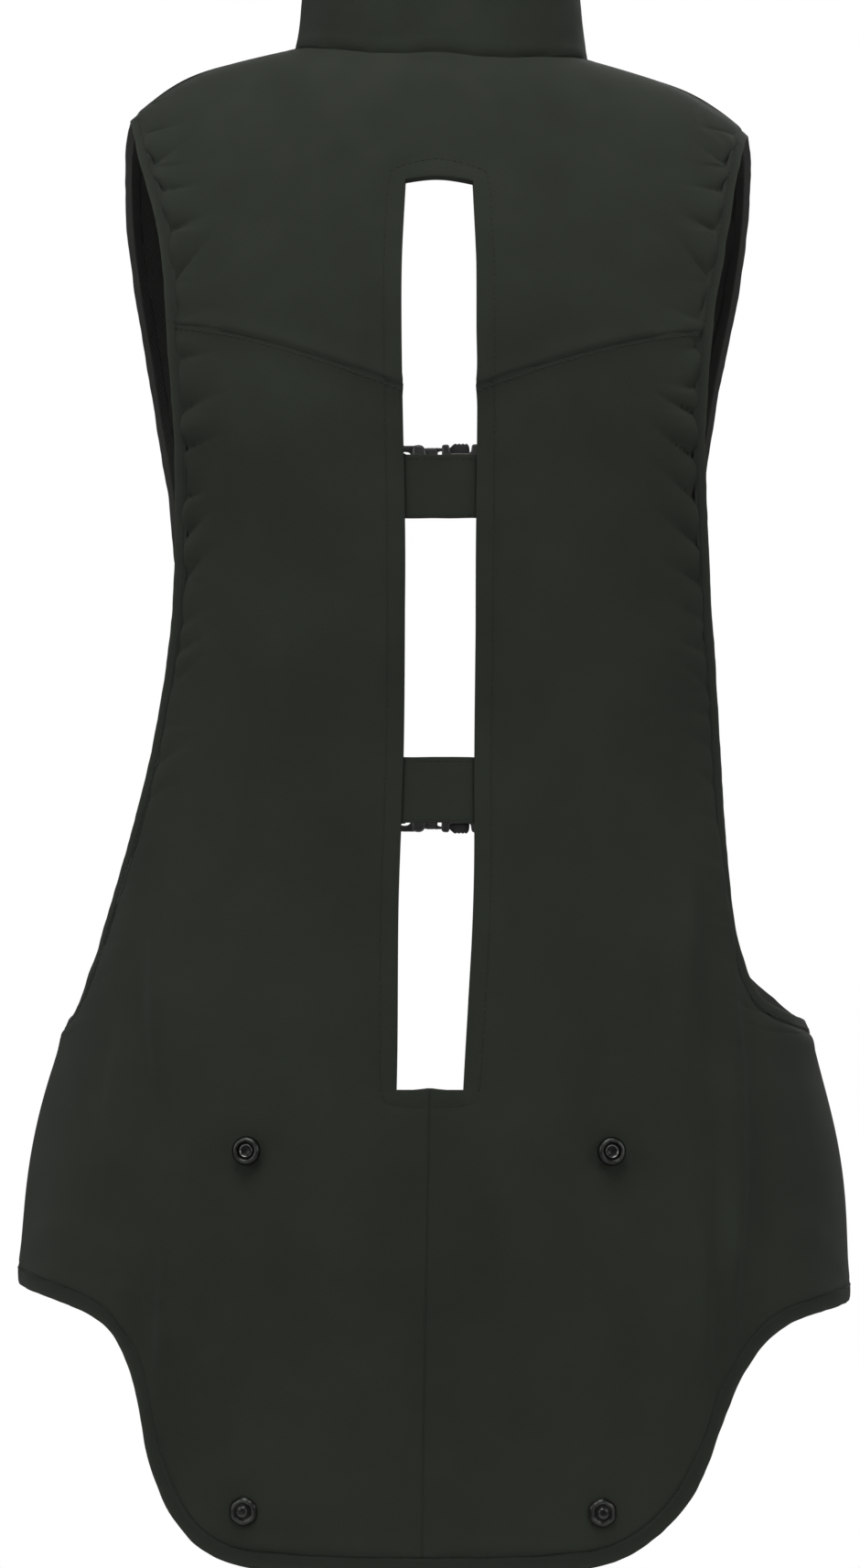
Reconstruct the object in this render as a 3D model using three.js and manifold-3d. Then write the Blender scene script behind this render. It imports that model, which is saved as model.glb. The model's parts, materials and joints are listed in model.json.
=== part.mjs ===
// Airbag vest for sport, hollow as it sits on the body.
// Millimetres, +Z up, +X to the wearer's right, +Y to the wearer's front.
// The origin is the middle of the neck hole, level with the shoulders beside the collar.
// A drop is a distance below the origin, and a reach is a distance from the middle of the body.

import * as THREE from "three";
import Module from "manifold-3d";

const manifoldModule = await Module();
manifoldModule.setup();
const { Manifold, Mesh } = manifoldModule;

// The body form: sections below the chest line, and an arch over the shoulders above it.
const CHEST_DROP = 178;
const SECTION_POWER = 2.3;
const ARCH_TAPE = 200;
const RIDGE_HEIGHT = 200;
const SHOULDER_SLOPE = 0.27;
const SHOULDER_TURN = 118;
const SHOULDER_ROUND = 0.009;
const SHOULDER_TILT = 0.04;
const TILT_FADE_DROP = 230;

// Cloth walls.
const SEAM_GAP = 0.4;
const PANEL_THICK = 8;
const PANEL_EDGE_THICK = 5;
const PANEL_EDGE_DIP = 1.5;
const LINING_THICK = 1.2;
const LINING_GAP = 0.7;

// Neck and collar.
const NECK_HALF_WIDTH = 75.5;
const NECK_HALF_DEPTH = 73;
const NECK_FORWARD = 16;
const COLLAR_TOP = 44;
const COLLAR_THICK = 9;
const COLLAR_LEAN = 0.1;

// Openings of the shell.
const SLOT_TOP_SHARE = 0.522;
const SLOT_TOP_DROP = 79;
const SLOT_ARCH_LIFT = 0.9;
const SLOT_BOTTOM_DROP = 524.5;
const FRONT_GAP_HALF = 32;
const SIDE_SEAM_TURN = 100;
const SEAM_BOW = 1.55;
const EDGE_BOW = 2.5;
const LEVEL_ROW_DROP = 350;

// Bindings.
const ARMHOLE_BINDING_WIDTH = 6;
const HEM_BINDING_WIDTH = 8;
const BINDING_THICK = 5.4;
const BINDING_GAP = 0.7;

// Bridge straps across the slot.
const BRIDGE_THICK = 2.2;
const BRIDGE_SPACING_GAP = 0.4;

// Snaps and buckles.
const SNAP_RADIUS = 7.2;
const SNAP_HEIGHT = 3.2;
const SNAP_SIDES = 20;
const UPPER_SNAP = { drop: 555, reach: 90 };
const LOWER_SNAP = { drop: 732, reach: 88.4 };
const BUCKLE_HALF_LENGTH = 29;
const BUCKLE_HALF_HEIGHT = 18;
const BUCKLE_THICK = 10.4;
const BUCKLE_DROPS = { upper: 209, lower: 383 };
const WEBBING_HEIGHT = 25;
const WEBBING_THICK = 1.8;
const WEBBING_GAP = 0.4;

// Sections of the body: its middle, half width, and depth to the back and to the front.
const SECTIONS = [
  { drop: 178, middle: 0, halfWidth: 185, back: 115, front: 118 },
  { drop: 275, middle: 0, halfWidth: 170, back: 110, front: 114 },
  { drop: 365, middle: 0, halfWidth: 167, back: 103, front: 109 },
  { drop: 445, middle: -1, halfWidth: 177, back: 105, front: 107 },
  { drop: 494, middle: -2, halfWidth: 190.5, back: 110, front: 108 },
  { drop: 524, middle: -3, halfWidth: 203, back: 114, front: 110 },
  { drop: 562, middle: -3.5, halfWidth: 212, back: 118, front: 112 },
  { drop: 606, middle: -3.7, halfWidth: 216, back: 121, front: 114 },
  { drop: 765, middle: -4, halfWidth: 213, back: 124, front: 114 },
];

// The spine line leans a little, and the slot is widest between the bridge straps.
const SPINE = [
  { drop: 0, shift: 1, slot: 17 },
  { drop: 79, shift: 1, slot: 17 },
  { drop: 125, shift: 1.2, slot: 18.9 },
  { drop: 250, shift: 2, slot: 17.9 },
  { drop: 360, shift: 1, slot: 17.6 },
  { drop: 430, shift: -0.5, slot: 18.7 },
  { drop: 524.5, shift: -3.3, slot: 16.5 },
  { drop: 765, shift: -7, slot: 16.5 },
];

// Back panel edge along the armhole: each row runs from the spine drop to the edge drop.
const BACK_ARMHOLE = [
  { spine: 178, edge: 147, left: 130.5, right: 131.5 },
  { spine: 216, edge: 196, left: 126.5, right: 128 },
  { spine: 258, edge: 245, left: 126.3, right: 130 },
  { spine: 304, edge: 298, left: 129.3, right: 133.2 },
  { spine: 350, edge: 350, left: 139, right: 137.2 },
  { spine: 396, edge: 402, left: 153.3, right: 140.3 },
  { spine: 436, edge: 440, left: 166, right: 143.8 },
  { spine: 468, edge: 472, left: 177, right: 152 },
  { spine: 490, edge: 491, left: 185.5, right: 167 },
  { spine: 508, edge: 500, turn: 85 },
  { spine: SLOT_BOTTOM_DROP, edge: 503, turn: SIDE_SEAM_TURN },
];

// Back panel edge along the hem: under the wing, round the notch and along the tail.
// The hang is how much lower the row's edge is on the right than on the left, halved.
const WING_HANG = 4;
const BACK_HEM = [
  { spine: 575, edge: 625, hang: WING_HANG, turn: SIDE_SEAM_TURN },
  { spine: 604, edge: 625, hang: WING_HANG, turn: 72 },
  { spine: 630, edge: 631, hang: 2.5, left: 175, right: 176 },
  { spine: 652, edge: 645, hang: 1, left: 154, right: 157 },
  { spine: 674, edge: 671, hang: 0, left: 142, right: 140 },
  { spine: 696, edge: 700, hang: 0, left: 137, right: 129.5 },
  { spine: 716, edge: 722, hang: 0, left: 129.3, right: 118.5 },
  { spine: 732, edge: 739, hang: 0, left: 118, right: 102 },
  { spine: 745, edge: 748, hang: 0, left: 104, right: 85 },
  { spine: 752.5, edge: 751, hang: 0, left: 89, right: 69 },
];

// Yoke edge along the armhole, by its share of the way from the yoke seam to the shoulder ridge.
const YOKE_EDGE = [
  { share: 0, left: 130.5, right: 131.5 },
  { share: 0.22, left: 135, right: 139 },
  { share: 0.49, left: 147, right: 146 },
  { share: 0.75, left: 153.5, right: 151.5 },
  { share: 1, left: 156, right: 154 },
];

// Front panel rows, from the neck or the front opening to the armhole.
// The tape is the distance from the shoulder ridge over the chest.
const RIDGE_TAPE = 0.8;
const FRONT_SEAM_TURN = 180 - SIDE_SEAM_TURN - 0.2;
const FRONT_ROWS = [
  { neck: -12.7, innerTape: RIDGE_TAPE, left: 156, right: 154, outerTape: RIDGE_TAPE },
  { neck: 20, innerTape: 44, left: 160, right: 156, outerTape: 38 },
  { neck: 45, innerTape: 80, left: 162, right: 156.5, outerTape: 76 },
  { inner: FRONT_GAP_HALF, innerTape: 104, left: 162, right: 155, outerTape: 112 },
  { inner: FRONT_GAP_HALF, innerTape: 146, left: 158, right: 149.5, outerTape: 152 },
  { inner: FRONT_GAP_HALF, innerTape: 188, left: 151.5, right: 141, outerTape: 188 },
  { inner: FRONT_GAP_HALF, innerTape: 232, left: 144, right: 134, outerTape: 230 },
  { inner: FRONT_GAP_HALF, innerTape: 280, left: 138.5, right: 131.5, outerTape: 277 },
  { inner: FRONT_GAP_HALF, innerTape: 330, left: 135.5, right: 131.5, outerTape: 327 },
  { inner: FRONT_GAP_HALF, innerTape: 384, left: 137, right: 135, outerTape: 380 },
  { inner: FRONT_GAP_HALF, innerTape: 434, left: 144.5, right: 138, outerTape: 432 },
  { inner: FRONT_GAP_HALF, innerTape: 474, left: 157, right: 146, outerTape: 474 },
  { inner: FRONT_GAP_HALF, innerTape: 502, left: 172, right: 159, outerTape: 503 },
  { inner: FRONT_GAP_HALF, innerTape: 526, turn: FRONT_SEAM_TURN, outerTape: 525 },
];
const FRONT_HEM_ROW = { innerTape: 632, outerTape: 647 };

const BRIDGES = [
  { name: "bridge_strap_upper", top: 212, bottom: 243.5 },
  { name: "bridge_strap_lower", top: 361, bottom: 393.4 },
];

const LOOKS = {
  shell: { color: 0x2f322d, roughness: 0.9, metalness: 0 },
  binding: { color: 0x2b2e29, roughness: 0.9, metalness: 0 },
  lining: { color: 0x0e0e0e, roughness: 0.95, metalness: 0 },
  webbing: { color: 0x141514, roughness: 0.9, metalness: 0 },
  plastic: { color: 0x303030, roughness: 0.45, metalness: 0 },
  metal: { color: 0x2a2a2c, roughness: 0.35, metalness: 1 },
};

const LEFT = -1;
const RIGHT = 1;
const { degToRad, radToDeg, lerp, clamp } = THREE.MathUtils;

/** Smooth value of one column at a place between rows, by its count of rows from the first. */
function smoothColumn(rows, column, place) {
  const index = clamp(Math.floor(place), 0, rows.length - 2);
  const value = (offset) => rows[clamp(index + offset, 0, rows.length - 1)][column];
  const t = place - index;
  const leave = (value(1) - value(-1)) / 2;
  const arrive = (value(2) - value(0)) / 2;
  const a = 2 * (value(0) - value(1)) + leave + arrive;
  const b = 3 * (value(1) - value(0)) - 2 * leave - arrive;
  return ((a * t + b) * t + leave) * t + value(0);
}

/** Smooth value of one column where another column, which rises from row to row, has a value. */
function smoothAt(rows, key, at, column) {
  const last = rows.length - 1;
  if (at <= rows[0][key]) return rows[0][column];
  if (at >= rows[last][key]) return rows[last][column];
  const index = rows.findIndex((row, i) => i < last && at < rows[i + 1][key]);
  const share = (at - rows[index][key]) / (rows[index + 1][key] - rows[index][key]);
  return smoothColumn(rows, column, index + share);
}

const halfWidthAt = (drop) => smoothAt(SECTIONS, "drop", drop, "halfWidth");
const middleAt = (drop) => smoothAt(SECTIONS, "drop", drop, "middle");
const spineAt = (drop) => smoothAt(SPINE, "drop", drop, "shift");
const slotAt = (drop) => smoothAt(SPINE, "drop", drop, "slot");
const CHEST = SECTIONS[0];

/** Depth of a section beside the middle, as a share of its full depth. */
function depthShare(share) {
  return (1 - Math.min(1, Math.abs(share)) ** SECTION_POWER) ** (1 / SECTION_POWER);
}

/** Height of the shoulder arch over the chest line at a reach. */
function archHeight(x) {
  const beyond = Math.max(0, Math.abs(x) - SHOULDER_TURN);
  return RIDGE_HEIGHT - SHOULDER_SLOPE * Math.abs(x) - SHOULDER_ROUND * beyond ** 2;
}

/** The wearer's right shoulder hangs a little lower. */
function hung(point) {
  point.z -= SHOULDER_TILT * point.x * clamp(1 + point.z / TILT_FADE_DROP, 0, 1);
  return point;
}

/** Outer surface over the shoulder: the lift is 0 at the back chest line, 90 on the ridge and 180 in front. */
function onArch(x, lift) {
  const toBack = Math.cos(degToRad(lift));
  const depth = (toBack > 0 ? CHEST.back : CHEST.front) * depthShare(x / CHEST.halfWidth);
  const rise = archHeight(x) * Math.sin(degToRad(lift));
  return hung(new THREE.Vector3(x, -depth * toBack, rise - CHEST_DROP));
}

/** Outer surface by the turn round the body from the spine (0) to the front (180) and the drop. */
function onBody(turn, drop) {
  const angle = degToRad(turn);
  if (drop < CHEST_DROP) {
    const x = CHEST.halfWidth * Math.sin(angle);
    return onArch(x, radToDeg(Math.asin(Math.min(1, (CHEST_DROP - drop) / archHeight(x)))));
  }
  const side = Math.cos(angle) > 0 ? "back" : "front";
  const depth = smoothAt(SECTIONS, "drop", drop, side) * depthShare(Math.sin(angle));
  const y = side === "back" ? -depth : depth;
  return hung(new THREE.Vector3(middleAt(drop) + halfWidthAt(drop) * Math.sin(angle), y, -drop));
}

/** Outer surface of the front by the turn from the front's middle and the tape from the shoulder ridge. */
function onFront(turn, tape) {
  if (tape > ARCH_TAPE) return onBody(180 - turn, CHEST_DROP + tape - ARCH_TAPE);
  return onArch(CHEST.halfWidth * Math.sin(degToRad(turn)), 90 + (90 * tape) / ARCH_TAPE);
}

/** Turn that reaches an x at a drop. */
function turnTo(x, drop) {
  return radToDeg(Math.asin(clamp((x - middleAt(drop)) / halfWidthAt(drop), -1, 1)));
}

/** A place on a surface with its outward normal. */
function seat(surface, a, b) {
  const nudge = 0.05;
  const point = surface(a, b);
  const across = surface(a + nudge, b).sub(surface(a - nudge, b));
  const along = surface(a, b + nudge).sub(surface(a, b - nudge));
  const normal = across.cross(along).normalize();
  const core = new THREE.Vector3(0, 0, Math.min(point.z, -CHEST_DROP));
  if (normal.dot(point.clone().sub(core)) < 0) normal.negate();
  return { point, normal };
}

/** The place moved inward by a depth. */
function sunk({ point, normal }, depth) {
  return point.clone().addScaledVector(normal, -depth);
}

/**
 * A closed wall on a grid of places. Cells that are not kept leave openings, and the wall thins at its rims.
 * depths(rim) gives the depths of the outer and the inner face.
 */
function wall({ columns, rows, at, depths, kept = () => true }) {
  const inside = (i, j) => i >= 0 && j >= 0 && i < columns && j < rows && kept(i, j);
  const positions = [];
  const index = [];
  const ids = new Map();
  const corner = (i, j, face) => {
    const key = `${i},${j},${face}`;
    if (!ids.has(key)) {
      const cells = [[i, j], [i - 1, j], [i, j - 1], [i - 1, j - 1]];
      const rim = !cells.every(([a, b]) => inside(a, b));
      ids.set(key, positions.length / 3);
      positions.push(...sunk(at(i, j), depths(rim)[face]).toArray());
    }
    return ids.get(key);
  };
  const at3 = (k) => new THREE.Vector3().fromArray(positions, 3 * k);
  const quad = (a, b, c, d) => {
    const along = at3(a).distanceTo(at3(c)) <= at3(b).distanceTo(at3(d));
    index.push(...(along ? [a, b, c, a, c, d] : [b, c, d, b, d, a]));
  };
  for (let i = 0; i < columns; i++) {
    for (let j = 0; j < rows; j++) {
      if (!inside(i, j)) continue;
      const ring = [[i, j], [i + 1, j], [i + 1, j + 1], [i, j + 1]];
      const beside = [[i, j - 1], [i + 1, j], [i, j + 1], [i - 1, j]];
      quad(...ring.map(([a, b]) => corner(a, b, 0)));
      quad(...ring.map(([a, b]) => corner(a, b, 1)).reverse());
      ring.forEach(([a, b], k) => {
        if (inside(...beside[k])) return;
        const [c, d] = ring[(k + 1) % 4];
        quad(corner(c, d, 0), corner(a, b, 0), corner(a, b, 1), corner(c, d, 1));
      });
    }
  }
  return outward(positions, index);
}

/** An indexed geometry with its faces turned outward. */
function outward(positions, index) {
  const geometry = new THREE.BufferGeometry();
  geometry.setAttribute("position", new THREE.Float32BufferAttribute(positions, 3));
  let volume = 0;
  const at = (k) => new THREE.Vector3().fromArray(positions, index[k] * 3);
  for (let k = 0; k < index.length; k += 3) volume += at(k).dot(at(k + 1).cross(at(k + 2)));
  geometry.setIndex(volume < 0 ? index.slice().reverse() : index);
  return geometry;
}

/** Depths of the two faces of a padded panel. */
const panelDepths = (rim) => (rim ? [PANEL_EDGE_DIP, PANEL_EDGE_DIP + PANEL_EDGE_THICK] : [0, PANEL_THICK]);
const PANEL_RIM_MIDDLE = PANEL_EDGE_DIP + PANEL_EDGE_THICK / 2;

/** Column shares with narrow columns at both rims. */
function rimShares(count, narrow) {
  const inner = (k) => narrow + ((1 - 2 * narrow) * (k - 1)) / (count - 2);
  return Array.from({ length: count + 1 }, (_, k) => (k === 0 ? 0 : k === count ? 1 : inner(k)));
}

const sideName = (side) => (side < 0 ? "left" : "right");

// Back panels.
const BACK_COLUMNS = 7;
const SEAM_COLUMNS = 2;
const WING_ROWS = 4;
const backShares = rimShares(BACK_COLUMNS, 0.08);

/** Rows of a back panel: the spine drop, the edge drop and the edge turn, down the armhole, wing and hem. */
function backRows(side) {
  const withTurn = ({ spine, edge, hang = 0, turn, ...reach }) => ({
    spine,
    edge: edge + side * hang,
    turn: turn ?? side * turnTo(side * reach[sideName(side)], edge),
  });
  const along = (table) => {
    const rows = table.map(withTurn);
    const column = (name, k) => smoothColumn(rows, name, k / 2);
    return Array.from({ length: 2 * rows.length - 1 }, (_, k) => ({
      spine: column("spine", k),
      edge: column("edge", k),
      turn: column("turn", k),
    }));
  };
  const armhole = along(BACK_ARMHOLE);
  const hem = along(BACK_HEM);
  const top = armhole.at(-1);
  const wing = Array.from({ length: WING_ROWS - 1 }, (_, k) => ({
    spine: lerp(top.spine, hem[0].spine, (k + 1) / WING_ROWS),
    edge: lerp(top.edge, hem[0].edge, (k + 1) / WING_ROWS),
    turn: SIDE_SEAM_TURN,
  }));
  return { rows: [...armhole, ...wing, ...hem], slotRows: armhole.length - 1, hemStart: armhole.length + WING_ROWS - 1 };
}

/**
 * A place on a back panel row, by the share of the way from the slot line to the outer edge.
 * Rows above the level row bow like the yoke seam, and rows below it turn to meet the edge steeply.
 */
function backPlace(side, row, share) {
  const slotTurn = turnTo(spineAt(row.spine) + side * slotAt(row.spine), row.spine);
  const way = row.spine < LEVEL_ROW_DROP ? 1 - (1 - share) ** SEAM_BOW : share ** EDGE_BOW;
  return seat(onBody, lerp(slotTurn, side * row.turn, share), lerp(row.spine, row.edge, way));
}

/** A place between the centre seam and the slot line. */
function seamPlace(side, row, share) {
  const reach = lerp(SEAM_GAP / 2, slotAt(row.spine), share);
  return seat(onBody, turnTo(spineAt(row.spine) + side * reach, row.spine), row.spine);
}

function backPanel(side) {
  const { rows, slotRows } = backRows(side);
  const at = (i, j) => {
    if (i < SEAM_COLUMNS) return seamPlace(side, rows[j], i / SEAM_COLUMNS);
    return backPlace(side, rows[j], backShares[i - SEAM_COLUMNS]);
  };
  const kept = (i, j) => i >= SEAM_COLUMNS || j >= slotRows;
  return wall({ columns: SEAM_COLUMNS + BACK_COLUMNS, rows: rows.length - 1, at, depths: panelDepths, kept });
}

// Yoke.
const YOKE_SLOT_ROWS = 5;
const YOKE_TOP_ROWS = 5;
const NECK_COLUMN = 3;

/** Lift of the neck hole's edge, or of the shoulder ridge beside it. */
function yokeTopLift(x) {
  const share = Math.abs(x) / NECK_HALF_WIDTH;
  const y = share < 1 ? NECK_FORWARD - NECK_HALF_DEPTH * Math.sqrt(1 - share ** 2) : 0;
  const depth = CHEST.back * depthShare(x / CHEST.halfWidth);
  return radToDeg(Math.acos(clamp(-y / depth, 0, 1)));
}

const neckReach = NECK_HALF_WIDTH * Math.sqrt(1 - (NECK_FORWARD / NECK_HALF_DEPTH) ** 2);

/** A place on one side of the yoke, by column from the slot line and by share from the seam to the top. */
function yokePlace(side, column, share) {
  const name = sideName(side);
  const seamRow = backRows(side).rows[0];
  const seamShare = backShares[column];
  const slotTurn = side * turnTo(spineAt(CHEST_DROP) + side * slotAt(CHEST_DROP), CHEST_DROP);
  const seamX = CHEST.halfWidth * Math.sin(degToRad(lerp(slotTurn, seamRow.turn, seamShare)));
  const seamDrop = lerp(CHEST_DROP, seamRow.edge, 1 - (1 - seamShare) ** SEAM_BOW) - SEAM_GAP;
  const seamLift = radToDeg(Math.asin((CHEST_DROP - seamDrop) / archHeight(seamX)));
  const topEdge = YOKE_EDGE.at(-1)[name];
  const topSlot = side * spineAt(0) + slotAt(0);
  const topX = column <= NECK_COLUMN
    ? lerp(topSlot, neckReach, column / NECK_COLUMN)
    : lerp(neckReach, topEdge, (column - NECK_COLUMN) / (BACK_COLUMNS - NECK_COLUMN));
  const spread = (smoothAt(YOKE_EDGE, "share", share, name) - YOKE_EDGE[0][name]) / (topEdge - YOKE_EDGE[0][name]);
  const slotDrop = lerp(CHEST_DROP, SLOT_TOP_DROP, Math.min(1, share / SLOT_TOP_SHARE));
  const x = column === 0 ? side * spineAt(slotDrop) + slotAt(slotDrop) : lerp(seamX, topX, spread);
  return seat(onArch, side * x, lerp(seamLift, yokeTopLift(lerp(x, topX, share)), share));
}

function yokeShare(row) {
  if (row <= YOKE_SLOT_ROWS) return (SLOT_TOP_SHARE * row) / YOKE_SLOT_ROWS;
  return lerp(SLOT_TOP_SHARE, 1, (row - YOKE_SLOT_ROWS) / YOKE_TOP_ROWS);
}

function yoke() {
  const slotColumns = 2;
  const columns = 2 * BACK_COLUMNS + slotColumns;
  const at = (i, j) => {
    const share = yokeShare(j);
    if (i <= BACK_COLUMNS) return yokePlace(LEFT, BACK_COLUMNS - i, share);
    if (i >= BACK_COLUMNS + slotColumns) return yokePlace(RIGHT, i - BACK_COLUMNS - slotColumns, share);
    const x = spineAt(lerp(CHEST_DROP, 0, share));
    return seat(onArch, x, lerp(0, yokeTopLift(x), share) + (j === YOKE_SLOT_ROWS ? SLOT_ARCH_LIFT : 0));
  };
  const kept = (i, j) => j >= YOKE_SLOT_ROWS || i < BACK_COLUMNS || i >= BACK_COLUMNS + slotColumns;
  return wall({ columns, rows: YOKE_SLOT_ROWS + YOKE_TOP_ROWS, at, depths: panelDepths, kept });
}

// Front panels and their lining.
const FRONT_COLUMNS = 7;
const FRONT_SIDE_ROWS = 4;
const frontShares = rimShares(FRONT_COLUMNS, 0.1);

/** Rows of a front panel, fine enough to build from. */
function frontRows(side) {
  const rows = FRONT_ROWS.map((row) => ({
    inner: row.inner ?? NECK_HALF_WIDTH * Math.cos(degToRad(row.neck)),
    innerTape: row.neck > 0 ? neckTape(row.neck) : row.innerTape,
    outerTurn: row.turn ?? side * turnTo(side * row[sideName(side)], tapeDrop(row.outerTape)),
    outerTape: row.outerTape,
  }));
  const names = Object.keys(rows[0]);
  const fine = Array.from({ length: 2 * rows.length - 1 }, (_, k) =>
    Object.fromEntries(names.map((name) => [name, smoothColumn(rows, name, k / 2)])),
  );
  const top = fine.at(-1);
  for (let k = 1; k <= FRONT_SIDE_ROWS; k++) {
    const share = k / FRONT_SIDE_ROWS;
    fine.push({
      inner: FRONT_GAP_HALF,
      innerTape: lerp(top.innerTape, FRONT_HEM_ROW.innerTape, share),
      outerTurn: FRONT_SEAM_TURN,
      outerTape: lerp(top.outerTape, FRONT_HEM_ROW.outerTape + side * WING_HANG, share),
    });
  }
  return fine;
}

/** Drop of a tape, or of the chest line above it. */
const tapeDrop = (tape) => Math.max(CHEST_DROP, CHEST_DROP + tape - ARCH_TAPE);

/** Tape from the shoulder ridge to the neck hole's edge at an angle round its plan. */
function neckTape(angle) {
  const x = NECK_HALF_WIDTH * Math.cos(degToRad(angle));
  const y = NECK_FORWARD + NECK_HALF_DEPTH * Math.sin(degToRad(angle));
  return (ARCH_TAPE * radToDeg(Math.asin(y / (CHEST.front * depthShare(x / CHEST.halfWidth))))) / 90;
}

function frontPlace(side, row, share) {
  const tape = lerp(row.innerTape, row.outerTape, share);
  const innerTurn = turnTo(side * row.inner, tapeDrop(tape));
  return seat(onFront, lerp(innerTurn, side * row.outerTurn, share), tape);
}

function frontPanel(side) {
  const rows = frontRows(side);
  const at = (i, j) => frontPlace(side, rows[j], frontShares[i]);
  return wall({ columns: FRONT_COLUMNS, rows: rows.length - 1, at, depths: panelDepths });
}

function frontLining(side) {
  const rows = frontRows(side).filter((_, j) => j % 2 === 1);
  const shares = frontShares.filter((_, i) => i % 2 === 1).slice(0, -1).concat(frontShares.at(-2));
  const at = (i, j) => frontPlace(side, rows[j], shares[i]);
  const depth = PANEL_THICK + LINING_GAP;
  return wall({ columns: shares.length - 1, rows: rows.length - 1, at, depths: () => [depth, depth + LINING_THICK] });
}

// Collar.
const COLLAR_COLUMNS = 36;
const COLLAR_ROWS = 3;

/** Edge of the neck hole at an angle round its plan from the back. */
function neckEdge(angle) {
  const x = NECK_HALF_WIDTH * Math.sin(angle);
  const y = NECK_FORWARD - NECK_HALF_DEPTH * Math.cos(angle);
  const depth = (y < 0 ? CHEST.back : CHEST.front) * depthShare(x / CHEST.halfWidth);
  return onArch(x, radToDeg(Math.acos(clamp(-y / depth, -1, 1))));
}

/** The collar's top is level from the back to the sides and follows the neck hole down in front. */
function collar() {
  const end = 180 - radToDeg(Math.asin(FRONT_GAP_HALF / NECK_HALF_WIDTH));
  const at = (i, j) => {
    const angle = degToRad(lerp(-end, end, i / COLLAR_COLUMNS));
    const level = neckEdge(clamp(angle, -Math.PI / 2, Math.PI / 2));
    const height = ((COLLAR_TOP - level.z - SHOULDER_TILT * level.x) * j) / COLLAR_ROWS;
    const normal = new THREE.Vector3(Math.sin(angle), -Math.cos(angle), 0);
    const point = neckEdge(angle).addScaledVector(normal, -COLLAR_LEAN * height);
    point.z += SEAM_GAP + height;
    return { point, normal };
  };
  return wall({ columns: COLLAR_COLUMNS, rows: COLLAR_ROWS, at, depths: () => [0, COLLAR_THICK] });
}

// Bindings.

/** A flat band beside a panel edge. Places run along the edge, and away points off the panel at the first one. */
function band(places, { width, closed, away }) {
  const spots = places.filter((place, k) => k === 0 || place.point.distanceTo(places[k - 1].point) > 3);
  const count = spots.length;
  const near = (k) => spots[closed ? (k + count) % count : clamp(k, 0, count - 1)];
  const frames = spots.map((spot, k) => {
    const along = near(k + 1).point.clone().sub(near(k - 1).point).normalize();
    return { middle: sunk(spot, PANEL_RIM_MIDDLE), off: along.cross(spot.normal).normalize(), normal: spot.normal };
  });
  const turn = Math.sign(frames[0].off.dot(away));
  const at = (i, j) => {
    const { middle, off, normal } = frames[i % count];
    const point = middle.clone().addScaledVector(off, turn * (BINDING_GAP + width * j));
    return { point: point.addScaledVector(normal, BINDING_THICK / 2), normal };
  };
  const positions = [];
  const index = [];
  frames.forEach((_, k) => {
    for (const [j, depth] of [[0, 0], [1, 0], [1, BINDING_THICK], [0, BINDING_THICK]]) {
      positions.push(...sunk(at(k, j), depth).toArray());
    }
  });
  const steps = closed ? count : count - 1;
  for (let k = 0; k < steps; k++) {
    const next = (k + 1) % count;
    for (let c = 0; c < 4; c++) {
      const d = (c + 1) % 4;
      index.push(4 * k + c, 4 * next + c, 4 * next + d, 4 * k + c, 4 * next + d, 4 * k + d);
    }
  }
  if (!closed) {
    const last = 4 * (count - 1);
    index.push(0, 1, 2, 0, 2, 3, last, last + 2, last + 1, last, last + 3, last + 2);
  }
  return outward(positions, index);
}

function armholeBinding(side) {
  const yokeRows = YOKE_SLOT_ROWS + YOKE_TOP_ROWS;
  const overYoke = Array.from({ length: yokeRows + 1 }, (_, j) =>
    yokePlace(side, BACK_COLUMNS, yokeShare(yokeRows - j)),
  );
  const { rows, slotRows } = backRows(side);
  const downBack = rows.slice(0, slotRows + 1).map((row) => backPlace(side, row, 1));
  const upFront = frontRows(side).slice(0, -FRONT_SIDE_ROWS).reverse().map((row) => frontPlace(side, row, 1));
  const away = new THREE.Vector3(side, 0, 0);
  return band([...overYoke, ...downBack, ...upFront], { width: ARMHOLE_BINDING_WIDTH, closed: true, away });
}

function hemBinding() {
  const half = (side) => {
    const front = frontShares.map((share) => frontPlace(side, frontRows(side).at(-1), share));
    const { rows, hemStart } = backRows(side);
    const wing = rows.slice(hemStart).map((row) => backPlace(side, row, 1));
    const tail = backShares.slice(0, -1).reverse().map((share) => backPlace(side, rows.at(-1), share));
    return [...front, ...wing, ...tail];
  };
  const places = [...half(RIGHT), ...half(LEFT).reverse()];
  return band(places, { width: HEM_BINDING_WIDTH, closed: false, away: new THREE.Vector3(0, 0, -1) });
}

// Bridge straps.
function bridge({ top, bottom }) {
  const columns = 4;
  const rows = 2;
  const at = (i, j) => {
    const drop = lerp(top, bottom, j / rows);
    const half = slotAt(drop) - BRIDGE_SPACING_GAP;
    return seat(onBody, turnTo(spineAt(drop) + lerp(-half, half, i / columns), drop), drop);
  };
  const depth = PANEL_RIM_MIDDLE - BRIDGE_THICK / 2;
  return wall({ columns, rows, at, depths: () => [depth, depth + BRIDGE_THICK] });
}

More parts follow.
